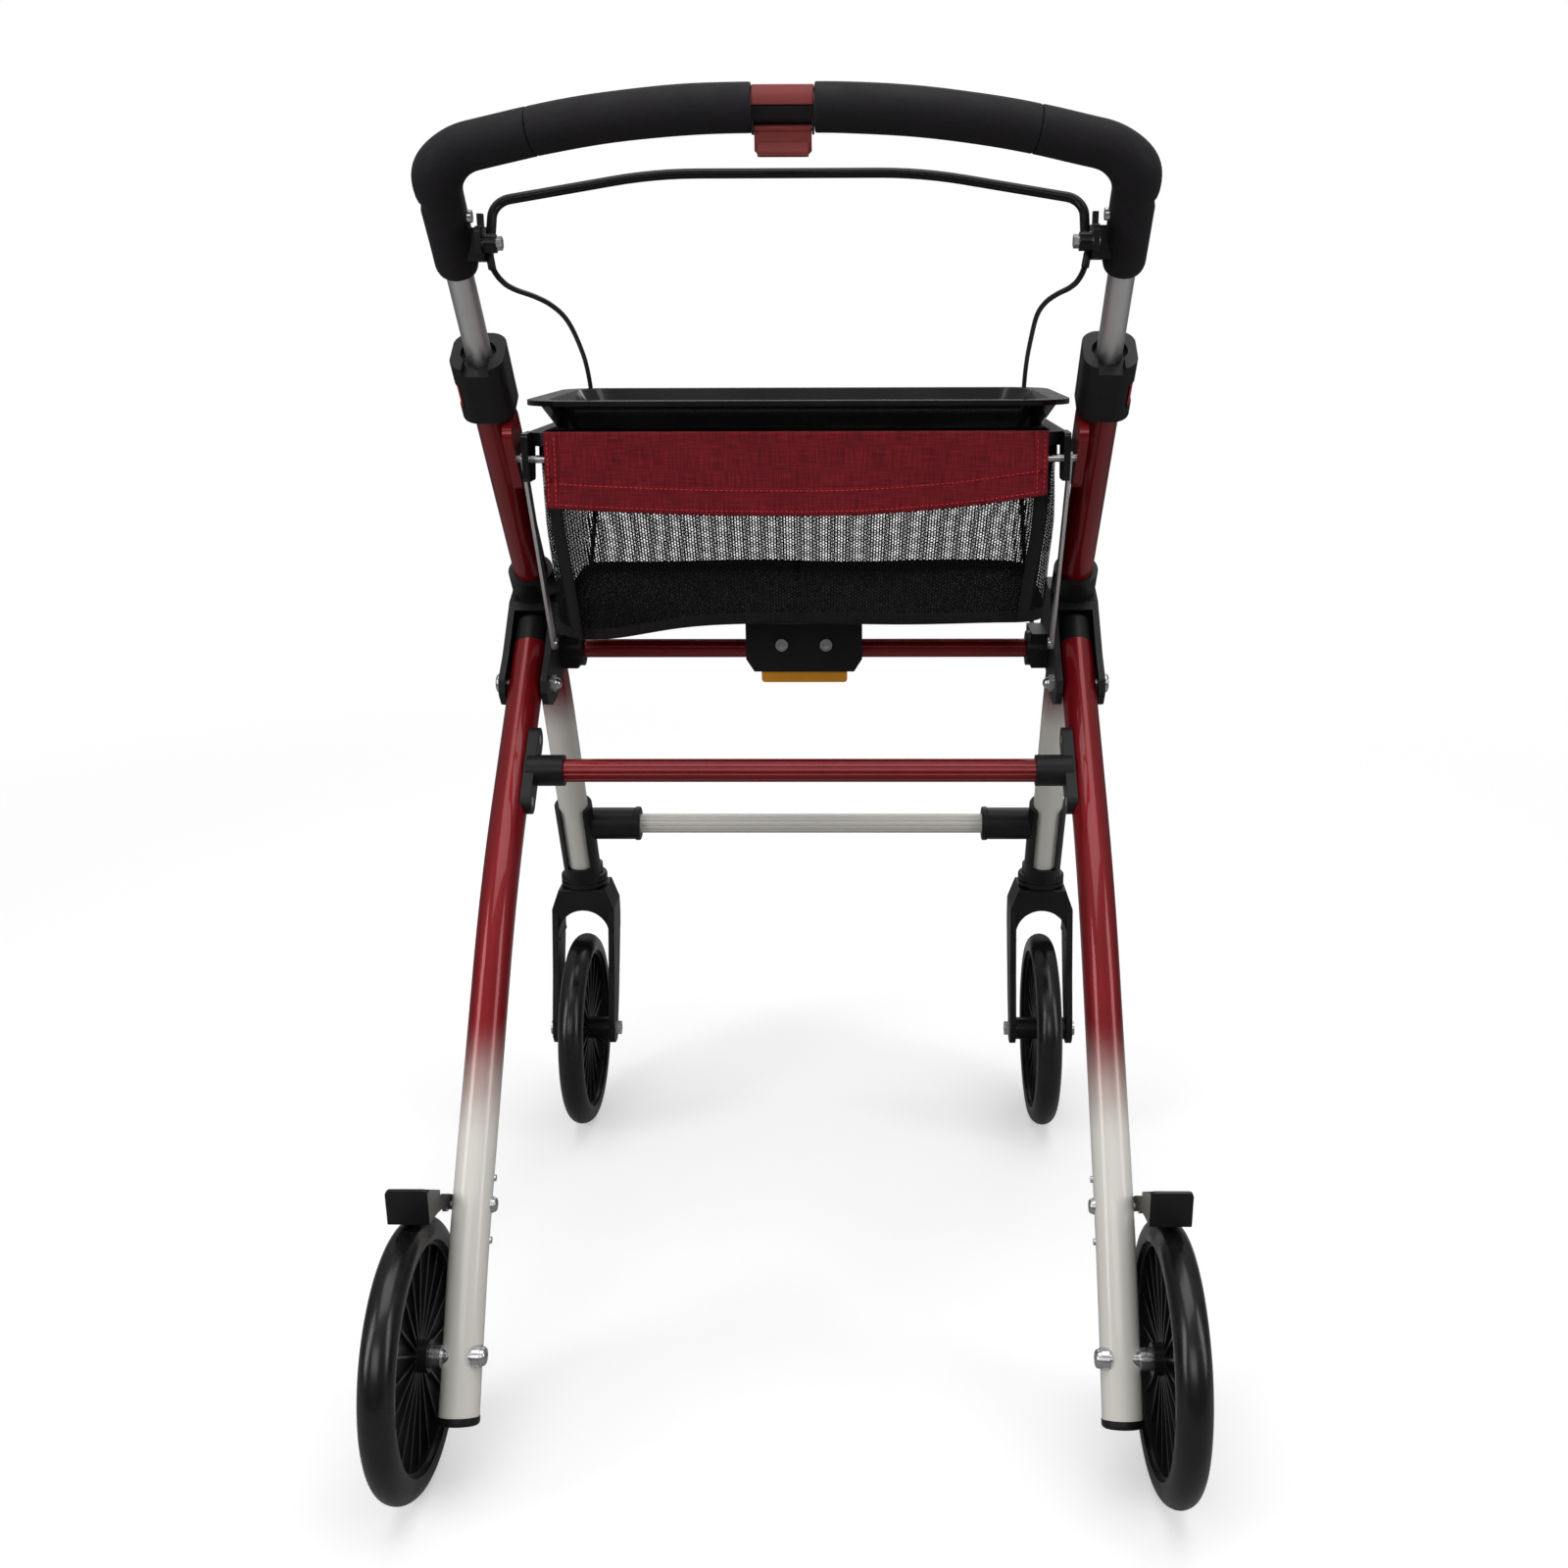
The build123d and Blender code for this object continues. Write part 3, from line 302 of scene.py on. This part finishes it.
satin_aluminium = metal("satin_aluminium", (0.88, 0.87, 0.85), 0.44, (1, 1, 0.06), 1400.0)
zinc = metal("zinc_plate", (0.68, 0.68, 0.69), 0.26, (1, 1, 1), 500.0)
black_enamel = plastic("black_enamel", (0.006, 0.006, 0.0065), 0.30, 500.0, 0.06, 0.0005)
cable_skin = plastic("black_cable_skin", (0.007, 0.007, 0.0075), 0.42, 1500.0, 0.1, 0.0002)
tyre_skin = tyre_material("cast_tyre")
foam_skin = foam("black_foam")
melange = woven("red_melange", (0.30, 0.019, 0.028), (0.085, 0.006, 0.011))
net = knit("black_knitted_net")
binding_cloth = woven("black_binding", (0.016, 0.014, 0.016), (0.006, 0.005, 0.006), 0.0007)
red_thread = plastic("red_thread", (0.55, 0.022, 0.020), 0.6, 3000.0, 0.3, 0.0001)


def both(*stems):
    return [stem + side for stem in stems for side in ("_left", "_right")]


looks = [
    (red_to_white_front, both("main_tube")),
    (red_to_white_rear, both("rear_leg")),
    (red_upper, ["upper_crossbar", "lower_crossbar", "tray_lugs"]),
    (white_paint, ["front_crossbar"]),
    (satin_aluminium, ["handle_tube", "stays"]),
    (black_plastic, both("joint_bracket", "height_clamp", "caster_housing", "caster_fork")),
    (black_plastic, ["leg_top_plugs", "leg_end_caps", "crossbar_brackets"]),
    (black_plastic, ["latch_plate", "cover_base", "stem_guides"]),
    (gloss_black, ["tray", "tray_holder"]),
    (dark_red_plastic, ["centre_cover", "parking_latch"]),
    (bright_red_plastic, both("height_button")),
    (orange_plastic, ["fold_lock_tab"]),
    (zinc, both("front_axle")),
    (zinc, ["fold_bolts", "stay_pins", "bracket_screws", "latch_screws", "brake_bolts", "rear_axle_bolts"]),
    (zinc, ["lever_bolts", "holder_rod"]),
    (black_enamel, ["brake_lever", "lever_brackets"] + both("brake_shoe")),
    (wheel_plastic, both("front_rim", "rear_rim")),
    (tyre_skin, both("front_tyre", "rear_tyre")),
    (cable_skin, ["brake_cables"]),
    (foam_skin, both("corner_grip", "foam_grip")),
    (net, ["basket"]),
    (melange, ["basket_flap"]),
]
for material, names in looks:
    for name in names:
        for slot in nodes[name].material_slots:
            slot.material = material


# ---------------------------------------------------------------- mesh helpers
def make_piece(name, vertices, faces, material, uvs=None):
    """A smooth mesh piece; uvs gives one (u, v) per vertex."""
    mesh = bpy.data.meshes.new(name)
    mesh.from_pydata([tuple(v) for v in vertices], [], [tuple(f) for f in faces])
    mesh.materials.append(material)
    mesh.shade_smooth()
    if uvs is not None:
        layer = mesh.uv_layers.new(name="weave")
        for polygon in mesh.polygons:
            for corner, vertex in zip(polygon.loop_indices, polygon.vertices):
                layer.data[corner].uv = uvs[vertex]
    piece = bpy.data.objects.new(name, mesh)
    bpy.context.scene.collection.objects.link(piece)
    return piece


def thicken(piece, thickness, offset=0.0):
    solid = piece.modifiers.new("thickness", "SOLIDIFY")
    solid.thickness = thickness
    solid.offset = offset
    return piece


def apply_modifiers(piece):
    """Fixes the modifiers' result into the mesh."""
    graph = bpy.context.evaluated_depsgraph_get()
    shaped = bpy.data.meshes.new_from_object(piece.evaluated_get(graph))
    piece.modifiers.clear()
    piece.data = shaped
    return piece


def fixed_noise(x, y, z):
    """A smooth, repeatable waviness between -1 and 1."""
    waves = (1.7 * x + 0.6 * y + 0.3, 2.9 * y - 1.1 * z + 1.2, 2.3 * z + 1.3 * x + 2.1)
    return sum(math.sin(wave) for wave in waves) / 3


# ---------------------------------------------------------------- handle foam
up = Vector(joints["handle_slide"]["axis"]).normalized()
out = Vector((0, up.z, -up.y))
tube_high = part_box("handle_tube")[1]
stem_radius = 0.0095
side_x = tube_high.x - stem_radius
# distances up the leaning plane: push bar, bend of the bow, foot of the hand rest
bar_v, corner_v = 0.192, 0.160
foot_v = 0.0735
corner_bend, bar_bend = 0.036, 0.650
foam_radius, edge_round = 0.0150, 0.0012
stub_radius, foot_round = 0.0154, 0.013
top_centre = Vector((0, 0.0026, 0.755))


def on_handle(x, v, w=0.0):
    """A point of the handle's leaning plane."""
    return Vector((x, top_centre.y, top_centre.z)) + up * v + out * w


def straight_run(start, end, step):
    """Points from start, left out, to end."""
    count = max(1, int((end - start).length / step))
    return [start.lerp(end, k / count) for k in range(1, count + 1)]


def rounded_run(corners, radii, step):
    """Points along straight runs joined by tangent arcs."""
    points = [corners[0]]
    for before, here, after, radius in zip(corners, corners[1:], corners[2:], radii):
        one = (before - here).normalized()
        two = (after - here).normalized()
        half = one.angle(two) / 2
        reach = radius / math.tan(half)
        middle = here + (one + two).normalized() * (radius / math.sin(half))
        start, end = here + one * reach, here + two * reach
        turn = math.pi - 2 * half
        count = max(2, int(radius * turn / step))
        axis = (start - middle).cross(end - middle).normalized()
        points += straight_run(points[-1], start, step)
        for k in range(1, count + 1):
            points.append(middle + Matrix.Rotation(turn * k / count, 3, axis) @ (start - middle))
    return points + straight_run(points[-1], corners[-1], step)


bow = rounded_run(
    [on_handle(0.0, bar_v), on_handle(0.100, bar_v), on_handle(side_x, corner_v), on_handle(side_x, foot_v)],
    [bar_bend, corner_bend], 0.0022)


def sleeve(name, points, radius_at, bore, body, replaced, material, sides=64):
    """A foam sleeve swept along points; radius_at gives its reach by distance from both ends."""
    lengths = [0.0]
    for a, b in zip(points, points[1:]):
        lengths.append(lengths[-1] + (b - a).length)
    rings = []
    first = (points[1] - points[0]).normalized()
    rings.append((points[0], bore, first))
    for k, point in enumerate(points):
        ahead = points[min(k + 1, len(points) - 1)] - points[max(k - 1, 0)]
        rings.append((point, None, ahead.normalized(), lengths[k], lengths[-1] - lengths[k]))
    last = (points[-1] - points[-2]).normalized()
    rings.append((points[-1], bore, last))
    vertices, faces = [], []
    for ring in rings:
        centre, radius, ahead = ring[:3]
        across = ahead.cross(out).normalized()
        for k in range(sides):
            angle = 2 * math.pi * k / sides
            way = across * math.cos(angle) + out * math.sin(angle)
            reach = radius if radius is not None else radius_at(ring[3], ring[4], angle, centre, way)
            vertices.append(centre + way * reach)
    for r in range(len(rings) - 1):
        for k in range(sides):
            a, b = r * sides + k, r * sides + (k + 1) % sides
            faces.append((a, b, b + sides, a + sides))
    piece = make_piece(name, vertices, faces, material)
    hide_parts(replaced)
    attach(piece, body)
    return piece


def rounded_end(distance, reach):
    """From 0 at an end to 1 past the rounding."""
    t = min(1.0, max(0.0, distance / reach))
    return math.sqrt(max(0.0, 1 - (1 - t) ** 2))


def bar_radius(from_start, from_end, angle, centre, way):
    """The push bar's foam: straight, with rounded edges at both ends."""
    edge = foam_radius - edge_round * (1 - rounded_end(min(from_start, from_end), edge_round))
    return edge + 0.00015 * fixed_noise(from_start * 60, angle * 2, 1.0)


def corner_radius(from_start, from_end, angle, centre, way):
    """The hand rest: a shoulder that bulges outward, a crease, then a stub with a rounded foot."""
    v = (centre - top_centre).dot(up)
    outward = 0.5 + 0.5 * way.x * (1 if centre.x > 0 else -1)
    shoulder = foam_radius - edge_round * (1 - rounded_end(from_start, edge_round))
    stub = stub_radius - 0.0042 * (1 - rounded_end(from_end, foot_round))
    bulge = 0.0038 * math.exp(-((v - 0.147) / 0.013) ** 2) * outward
    crease = 0.0019 * math.exp(-((v - 0.128) / 0.0028) ** 2) * outward ** 2
    waviness = 0.0002 * fixed_noise(from_start * 60, angle * 2, 2.0)
    return min(shoulder, stub) + bulge - crease + waviness


def crossing(points, x):
    """The point where a run passes x."""
    for a, b in zip(points, points[1:]):
        if a.x <= x <= b.x:
            return a.lerp(b, (x - a.x) / (b.x - a.x))
    return points[-1]


def stretch(points, start_x, end_x):
    """The run between two places, closely spaced at both ends for the rounding."""
    first, last = crossing(points, start_x), crossing(points, end_x)
    spare = 0.0016
    kept = [p for p in points if p.x > start_x + spare and (p - last).length > spare and p.x < end_x]
    ahead, behind = (kept[0] - first).normalized(), (kept[-1] - last).normalized()
    near = (0.0, 0.0002, 0.0005, 0.0009, 0.0014)
    return [first + ahead * d for d in near] + kept + [last + behind * d for d in near[::-1]]


split_x, split_half, cover_half = 0.161, 0.00015, 0.0200
bar_run = stretch(bow, cover_half, split_x - split_half)
corner_run = stretch(bow, split_x + split_half, side_x + 1.0)
for side, word in ((1, "right"), (-1, "left")):
    for stem, run, radius in (("foam_grip", bar_run, bar_radius), ("corner_grip", corner_run, corner_radius)):
        points = [Vector((p.x * side, p.y, p.z)) for p in run]
        node = stem + "_" + word
        sleeve("soft_" + node, points, radius, stem_radius + 0.0002, "handle", node, foam_skin)

# ---------------------------------------------------------------- basket
basket_low, basket_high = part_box("basket")
flap_low, flap_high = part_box("basket_flap")


def rounded_rectangle(half_x, half_y, radius, share):
    """A point of a rounded rectangle at a share of its way round, from the middle of its near side."""
    straight_x, straight_y = 2 * (half_x - radius), 2 * (half_y - radius)
    arc = math.pi * radius / 2
    lengths = [straight_x / 2, arc, straight_y, arc, straight_x, arc, straight_y, arc, straight_x / 2]
    left = share * sum(lengths)
    starts = [(0, -half_y), (half_x - radius, -half_y), (half_x, radius - half_y), (half_x, half_y - radius),
              (half_x - radius, half_y), (radius - half_x, half_y), (-half_x, half_y - radius),
              (-half_x, radius - half_y), (radius - half_x, -half_y)]
    angle = 0.0
    for k, length in enumerate(lengths):
        if left <= length or k == 8:
            x, y = starts[k]
            if k % 2 == 0:
                return x + math.cos(angle) * left, y + math.sin(angle) * left
            turn = left / radius
            cx, cy = x - math.sin(angle) * radius, y + math.cos(angle) * radius
            return cx + math.sin(angle + turn) * radius, cy - math.cos(angle + turn) * radius
        left -= length
        if k % 2:
            angle += math.pi / 2
    return 0.0, -half_y


middle_y = (basket_low.y + basket_high.y) / 2
rim_round, floor_round = 0.020, 0.026
taper_x, taper_y, floor_forward = 0.0025, 0.011, 0.006
far_rise, corner_drop = 0.016, 0.013
half_top = ((basket_high.x - basket_low.x) / 2 - 0.0004, (basket_high.y - basket_low.y) / 2 - 0.0004)
rim_z, floor_z = basket_high.z - 0.001, basket_low.z + 0.003


def sag(x, y):
    """How the floor hangs: lower at the near left corner and in the middle, higher at the far edge."""
    forward = (y - basket_low.y) / (basket_high.y - basket_low.y)
    corner = math.exp(-(((x + 0.165) / 0.060) ** 2 + ((y - 0.055) / 0.050) ** 2))
    return far_rise * forward - corner_drop * corner + 0.0015 * fixed_noise(x * 22, y * 22, 0.5)


def basket_point(share, height, away=0.0):
    """A point of the basket's wall; height runs from 0 at the floor to 1 at the rim."""
    lean = 0.5 + 0.5 * height
    half_x = half_top[0] - taper_x * (1 - height) + away
    half_y = half_top[1] - taper_y * (1 - height) + away
    radius = floor_round - (floor_round - rim_round) * height
    x, y = rounded_rectangle(half_x, half_y, radius, share)
    y += middle_y + floor_forward * (1 - height)
    belly = math.sin(math.pi * height) * (0.0022 + 0.0018 * fixed_noise(share * 21, height * 4, 0.2))
    pull = Vector((x, y - middle_y, 0)).normalized() * belly * lean
    z = floor_z + (rim_z - floor_z) * height + sag(x, y) * (1 - height) ** 1.5
    return Vector((x + pull.x, y + pull.y, z))


around, upward, rings = 168, 26, 16
perimeter = 4 * (half_top[0] + half_top[1]) - (8 - 2 * math.pi) * rim_round
vertices, faces, uvs = [], [], []
for j in range(upward + 1):
    for i in range(around + 1):
        vertices.append(basket_point(i / around, j / upward))
        uvs.append((i / around * perimeter, j / upward * (rim_z - floor_z)))
for j in range(upward):
    for i in range(around):
        a = j * (around + 1) + i
        faces.append((a, a + 1, a + around + 2, a + around + 1))
wall_count = len(vertices)
floor_middle = Vector((0, middle_y + floor_forward, 0))
for r in range(rings + 1):
    share_in = 1 - r / rings
    for i in range(around):
        edge = basket_point(i / around, 0.0)
        flat = floor_middle + (Vector((edge.x, edge.y, 0)) - floor_middle) * (share_in * 0.998 + 0.002)
        z = floor_z + sag(flat.x, flat.y) - 0.004 * (1 - share_in ** 2)
        spot = Vector((flat.x, flat.y, z if r else edge.z))
        vertices.append(spot)
        uvs.append((spot.x, spot.y + DENSE))
for r in range(rings):
    for i in range(around):
        a = wall_count + r * around + i
        b = wall_count + r * around + (i + 1) % around
        faces.append((a, a + around, b + around, b))
basket = make_piece("net_basket", vertices, faces, net, uvs)
thicken(basket, 0.0006, 0.0)
apply_modifiers(basket)
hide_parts("basket")
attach(basket, "main_frame")


def strip(name, line, width, thickness, outward, material):
    """A folded tape along a line, standing outward from it."""
    vertices, faces, uvs = [], [], []
    distance = 0.0
    profile = [(-1.0, 0.0), (-0.86, 0.75), (-0.5, 1.0), (0.0, 1.08), (0.5, 1.0), (0.86, 0.75),
               (1.0, 0.0), (0.5, -0.5), (-0.5, -0.5)]
    count = len(profile)
    for k, point in enumerate(line):
        ahead = (line[min(k + 1, len(line) - 1)] - line[max(k - 1, 0)]).normalized()
        up_from = outward(point).normalized()
        aside = ahead.cross(up_from).normalized()
        if k:
            distance += (point - line[k - 1]).length
        for a, b in profile:
            vertices.append(point + aside * (a * width / 2) + up_from * (b * thickness))
            uvs.append((a * width / 2 + width, distance))
    for k in range(len(line) - 1):
        for p in range(count):
            a, b = k * count + p, k * count + (p + 1) % count
            faces.append((a, b, b + count, a + count))
    faces.append(tuple(range(count))[::-1])
    faces.append(tuple(range(len(vertices) - count, len(vertices))))
    piece = make_piece(name, vertices, faces, material, uvs)
    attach(piece, "main_frame")
    return piece


def basket_out(point):
    return Vector((point.x * 0.6, (point.y - middle_y) * 1.2, 0.0))


corner_shares = []
for sx, sy in ((1, -1), (-1, -1)):
    best = min(range(1000), key=lambda k: -(basket_point(k / 1000, 1.0).x * sx / half_top[0]
                                            + (basket_point(k / 1000, 1.0).y - middle_y) * sy / half_top[1]))
    corner_shares.append(best / 1000)
for word, share in (("right", corner_shares[0]), ("left", corner_shares[1])):
    line = [basket_point(share, k / 24, 0.0006) for k in range(25)]
    strip("corner_binding_" + word, line, 0.019, 0.0011, basket_out, binding_cloth)
for word, height, width in (("floor", 0.02, 0.009), ("rim", 0.965, 0.012)):
    line = [basket_point(k / 160, height, 0.0004) for k in range(161)]
    strip(word + "_binding", line, width, 0.0012, basket_out, binding_cloth)

# ---------------------------------------------------------------- flap
flap_width, flap_top = flap_high.x - flap_low.x, flap_high.z
flap_mid_y = (flap_low.y + flap_high.y) / 2


hem_rise_left, hem_rise_right = 0.0064, 0.0158


def hem_z(x):
    """The flap's lower edge, which hangs lowest left of the middle and lifts to the right."""
    s = x / (flap_width / 2)
    return flap_low.z + 0.0006 + hem_rise_left * max(0.0, -s) ** 2.2 + hem_rise_right * max(0.0, s) ** 2.1


def flap_point(x, share, away=0.0):
    """A point of the flap; share runs from 0 at the hem to 1 at the top."""
    low = hem_z(x)
    z = low + (flap_top - low) * share
    s = x / (flap_width / 2)
    ripple = 0.0012 * math.sin(5.2 * s + 0.8) + 0.0008 * math.sin(11 * s - 1.0) + 0.0016 * max(0.0, s) ** 3
    loose = (1 - share) ** 1.6
    y = flap_mid_y - ripple * loose - 0.0010 * loose - away
    wobble = 0.0005 * math.sin(24 * share + 3 * s)
    return Vector((x + wobble * (abs(s) > 0.999), y, z))


flap_vertices, flap_faces, flap_uvs = [], [], []
columns, rows = 96, 22
for j in range(rows + 1):
    for i in range(columns + 1):
        x = flap_width * (i / columns - 0.5) * 0.998
        point = flap_point(x, j / rows)
        flap_vertices.append(point)
        flap_uvs.append((x, point.z))
for j in range(rows):
    for i in range(columns):
        a = j * (columns + 1) + i
        flap_faces.append((a, a + 1, a + columns + 2, a + columns + 1))
flap = make_piece("cloth_flap", flap_vertices, flap_faces, melange, flap_uvs)
thicken(flap, 0.0011, 0.0)
apply_modifiers(flap)
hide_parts("basket_flap")
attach(flap, "main_frame")


def cloth_patch(name, spots, thickness, material):
    """A second layer of cloth on the flap, such as a turned hem, from a grid of (x, share) spots."""
    vertices, faces, uvs = [], [], []
    wide = len(spots[0])
    for row in spots:
        for x, share in row:
            point = flap_point(x, share, 0.0011)
            vertices.append(point)
            uvs.append((x + 0.0003, point.z))
    for j in range(len(spots) - 1):
        for i in range(wide - 1):
            a = j * wide + i
            faces.append((a, a + 1, a + wide + 1, a + wide))
    piece = make_piece(name, vertices, faces, material, uvs)
    thicken(piece, thickness, 0.0)
    edge = piece.modifiers.new("edge", "BEVEL")
    edge.width, edge.segments, edge.limit_method = 0.0003, 2, "ANGLE"
    apply_modifiers(piece)
    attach(piece, "main_frame")
    return piece


def share_at(x, above):
    """The flap's share at a distance above its hem."""
    return above / (flap_top - hem_z(x))


half = flap_width / 2
inset, hem_low, hem_tall = 0.0008, 0.0006, 0.0205
hem_spots = [
    [(-half + inset + (flap_width - 2 * inset) * i / 90, share_at(0.0, hem_low + hem_tall * j / 5))
     for i in range(91)] for j in range(6)
]
flap_pieces = [cloth_patch("flap_hem", hem_spots, 0.0009, melange)]
for word, sign in (("left", -1), ("right", 1)):
    spots = [[(sign * (half - inset - 0.0095 * i / 3), 0.395 + 0.6 * j / 14) for i in range(4)]
             for j in range(15)]
    if sign > 0:
        spots = [row[::-1] for row in spots]
    flap_pieces.append(cloth_patch("flap_side_" + word, spots, 0.0008, melange))


def stitches(name, line, material, length=0.0026, gap=0.0012, radius=0.00042):
    """Short raised stitches along a line, each a small bowed thread."""
    lengths = [0.0]
    for a, b in zip(line, line[1:]):
        lengths.append(lengths[-1] + (b - a).length)

    def at(distance):
        k = max(0, min(len(line) - 2, int(np.searchsorted(lengths, distance)) - 1))
        t = (distance - lengths[k]) / max(1e-9, lengths[k + 1] - lengths[k])
        return line[k].lerp(line[k + 1], min(1.0, max(0.0, t)))

    vertices, faces = [], []
    start = 0.001
    while start + length < lengths[-1]:
        rise = [-0.6, 0.7, 1.0, 0.7, -0.6]
        base = len(vertices)
        for k, r in enumerate(rise):
            here = at(start + length * k / 4)
            ahead = (at(start + length) - at(start)).normalized()
            outward = Vector((0, -1, 0))
            aside = ahead.cross(outward).normalized()
            fat = radius * (0.55 if k in (0, 4) else 1.0)
            for s in range(6):
                angle = math.pi * 2 * s / 6
                lift = r * radius * 0.9 + fat * math.cos(angle)
                vertices.append(here + outward * lift + aside * (fat * math.sin(angle)))
        for k in range(4):
            for s in range(6):
                a, b = base + k * 6 + s, base + k * 6 + (s + 1) % 6
                faces.append((a, b, b + 6, a + 6))
        faces.append(tuple(base + s for s in range(6))[::-1])
        faces.append(tuple(base + 24 + s for s in range(6)))
        start += length + gap
    piece = make_piece(name, vertices, faces, material)
    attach(piece, "main_frame")
    return piece


def flap_line(above, x0=-half + 0.006, x1=half - 0.006, layer=0.0016):
    """Points along the flap at a height above its hem."""
    places = [x0 + (x1 - x0) * k / 120 for k in range(121)]
    return [flap_point(x, share_at(x, above), layer) for x in places]


flap_pieces.append(stitches("hem_stitches_low", flap_line(0.0035), red_thread))
flap_pieces.append(stitches("hem_stitches_high", flap_line(0.0190), red_thread))
for word, sign in (("left", -1), ("right", 1)):
    for number, from_side in enumerate((0.0030, 0.0085)):
        x = sign * (half - from_side)
        low = share_at(x, 0.004)
        line = [flap_point(x, low + (0.93 - low) * k / 40, 0.0016) for k in range(41)]
        flap_pieces.append(stitches("side_stitches_%s_%d" % (word, number), line, red_thread))

# ---------------------------------------------------------------- brake cables
cable_mesh = nodes["brake_cables"].data.copy()
cables = bpy.data.objects.new("bending_brake_cables", cable_mesh)
bpy.context.scene.collection.objects.link(cables)
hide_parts("brake_cables")
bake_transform(cables)


def cable_end(side, word):
    """The cable's last few millimetres, from its end up into the lever bracket."""
    tops = [v.co for v in cable_mesh.vertices if v.co.x * side > 0]
    highest = max(v.z for v in tops)
    ends = [v for v in tops if v.z > highest - 0.003]
    low = sum(ends, Vector()) / len(ends)
    bracket_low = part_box("lever_brackets")[0]
    high = Vector((low.x + side * 0.0015, low.y + 0.0015, bracket_low.z + 0.006))
    ahead = (high - low).normalized()
    across = ahead.cross(Vector((0, 1, 0))).normalized()
    third = ahead.cross(across)
    reach = (high - low).length
    profile = [(-0.0030, 0.0014), (-0.0028, 0.0024), (-0.0022, 0.0027), (reach * 0.7, 0.0027),
               (reach, 0.0024), (reach, 0.0004)]
    ways = [across * math.cos(k * math.pi / 12) + third * math.sin(k * math.pi / 12) for k in range(24)]
    vertices = [low + ahead * d + way * r for d, r in profile for way in ways]
    faces = [(j * 24 + k, j * 24 + (k + 1) % 24, (j + 1) * 24 + (k + 1) % 24, (j + 1) * 24 + k)
             for j in range(len(profile) - 1) for k in range(24)]
    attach(make_piece("cable_end_" + word, vertices, faces, cable_skin), "handle")


cable_end(1, "right")
cable_end(-1, "left")

# ---------------------------------------------------------------- stage
def floor_material(name):
    """A pale sweep that melts into the white background away from the object."""
    material, tree, shader = new_material(name)
    where = place(tree)
    seen = add(tree, "ShaderNodeLightPath").outputs["Is Camera Ray"]
    tone = blend_colour(tree, noise(tree, where, 1.5, 2.0), (0.80, 0.80, 0.80), (0.78, 0.78, 0.785))
    tree.links.new(blend_colour(tree, seen, (0.30, 0.30, 0.30), tone), shader.inputs["Base Color"])
    tree.links.new(math_node(tree, "MULTIPLY", seen, 0.38), shader.inputs["Emission Strength"])
    away = add(tree, "ShaderNodeVectorMath", operation="LENGTH", i0=where).outputs["Value"]
    tree.links.new(remap(tree, away, 0.75, 2.4, 1.0, 0.0, smooth=True), shader.inputs["Alpha"])
    set_values(shader, Roughness=0.7, Emission_Color=(1.0, 1.0, 1.0, 1.0))
    return material


floor_ring = [(9 * math.cos(2 * math.pi * k / 96), 9 * math.sin(2 * math.pi * k / 96), 0) for k in range(96)]
floor = make_piece("floor", floor_ring, [tuple(range(96))], floor_material("pale_floor"))

world = bpy.data.worlds.new("studio")
bpy.context.scene.world = world
world.use_nodes = True
tree = world.node_tree
tree.nodes.clear()
coordinates = add(tree, "ShaderNodeTexCoord")
height = add(tree, "ShaderNodeSeparateXYZ", Vector=coordinates.outputs["Generated"]).outputs[2]
sky = blend_colour(tree, remap(tree, height, -0.1, 0.9), (0.08, 0.08, 0.085), (0.40, 0.40, 0.40))
seen = add(tree, "ShaderNodeLightPath").outputs["Is Camera Ray"]
shown = blend_colour(tree, seen, sky, (1.0, 1.0, 1.0))
background = add(tree, "ShaderNodeBackground", Color=shown, Strength=1.0)
add(tree, "ShaderNodeOutputWorld", Surface=background.outputs[0])


def soft_light(name, location, aim, size, power):
    """A large softbox aimed at a point."""
    lamp = bpy.data.lights.new(name, "AREA")
    lamp.shape = "RECTANGLE"
    lamp.size, lamp.size_y = size
    lamp.energy = power
    holder = bpy.data.objects.new(name, lamp)
    bpy.context.scene.collection.objects.link(holder)
    holder.location = location
    holder.rotation_euler = (Vector(aim) - Vector(location)).to_track_quat("-Z", "Y").to_euler()


soft_light("overhead_box", (0.1, -0.3, 2.9), (0, 0, 0.4), (2.6, 2.0), 32)
soft_light("left_box", (-2.3, -1.4, 1.5), (0, 0, 0.5), (0.8, 2.0), 22)
soft_light("right_box", (2.4, -1.0, 1.4), (0, 0, 0.5), (0.7, 2.0), 15)
soft_light("back_box", (0.3, 2.6, 1.9), (0, 0, 0.5), (2.4, 1.2), 16)
soft_light("front_box", (-0.3, -2.8, 1.8), (0, 0, 0.5), (2.0, 1.0), 14)

# ---------------------------------------------------------------- camera
camera = bpy.data.cameras.new("camera")
camera.sensor_width = 36.0
camera.lens = 35.73
camera.shift_x = -0.03875
camera.clip_start, camera.clip_end = 0.05, 60.0
viewer = bpy.data.objects.new("camera", camera)
bpy.context.scene.collection.objects.link(viewer)
pitch, yaw, roll = math.radians(17.0), math.radians(0.64), math.radians(-0.19)
viewer.location = (0.0493, -1.171, 0.789)
level = Matrix.Rotation(yaw, 4, "Z") @ Matrix.Rotation(math.pi / 2 - pitch, 4, "X")
viewer.rotation_euler = (level @ Matrix.Rotation(roll, 4, "Z")).to_euler()
bpy.context.scene.camera = viewer
bpy.context.scene.view_settings.view_transform = "Standard"
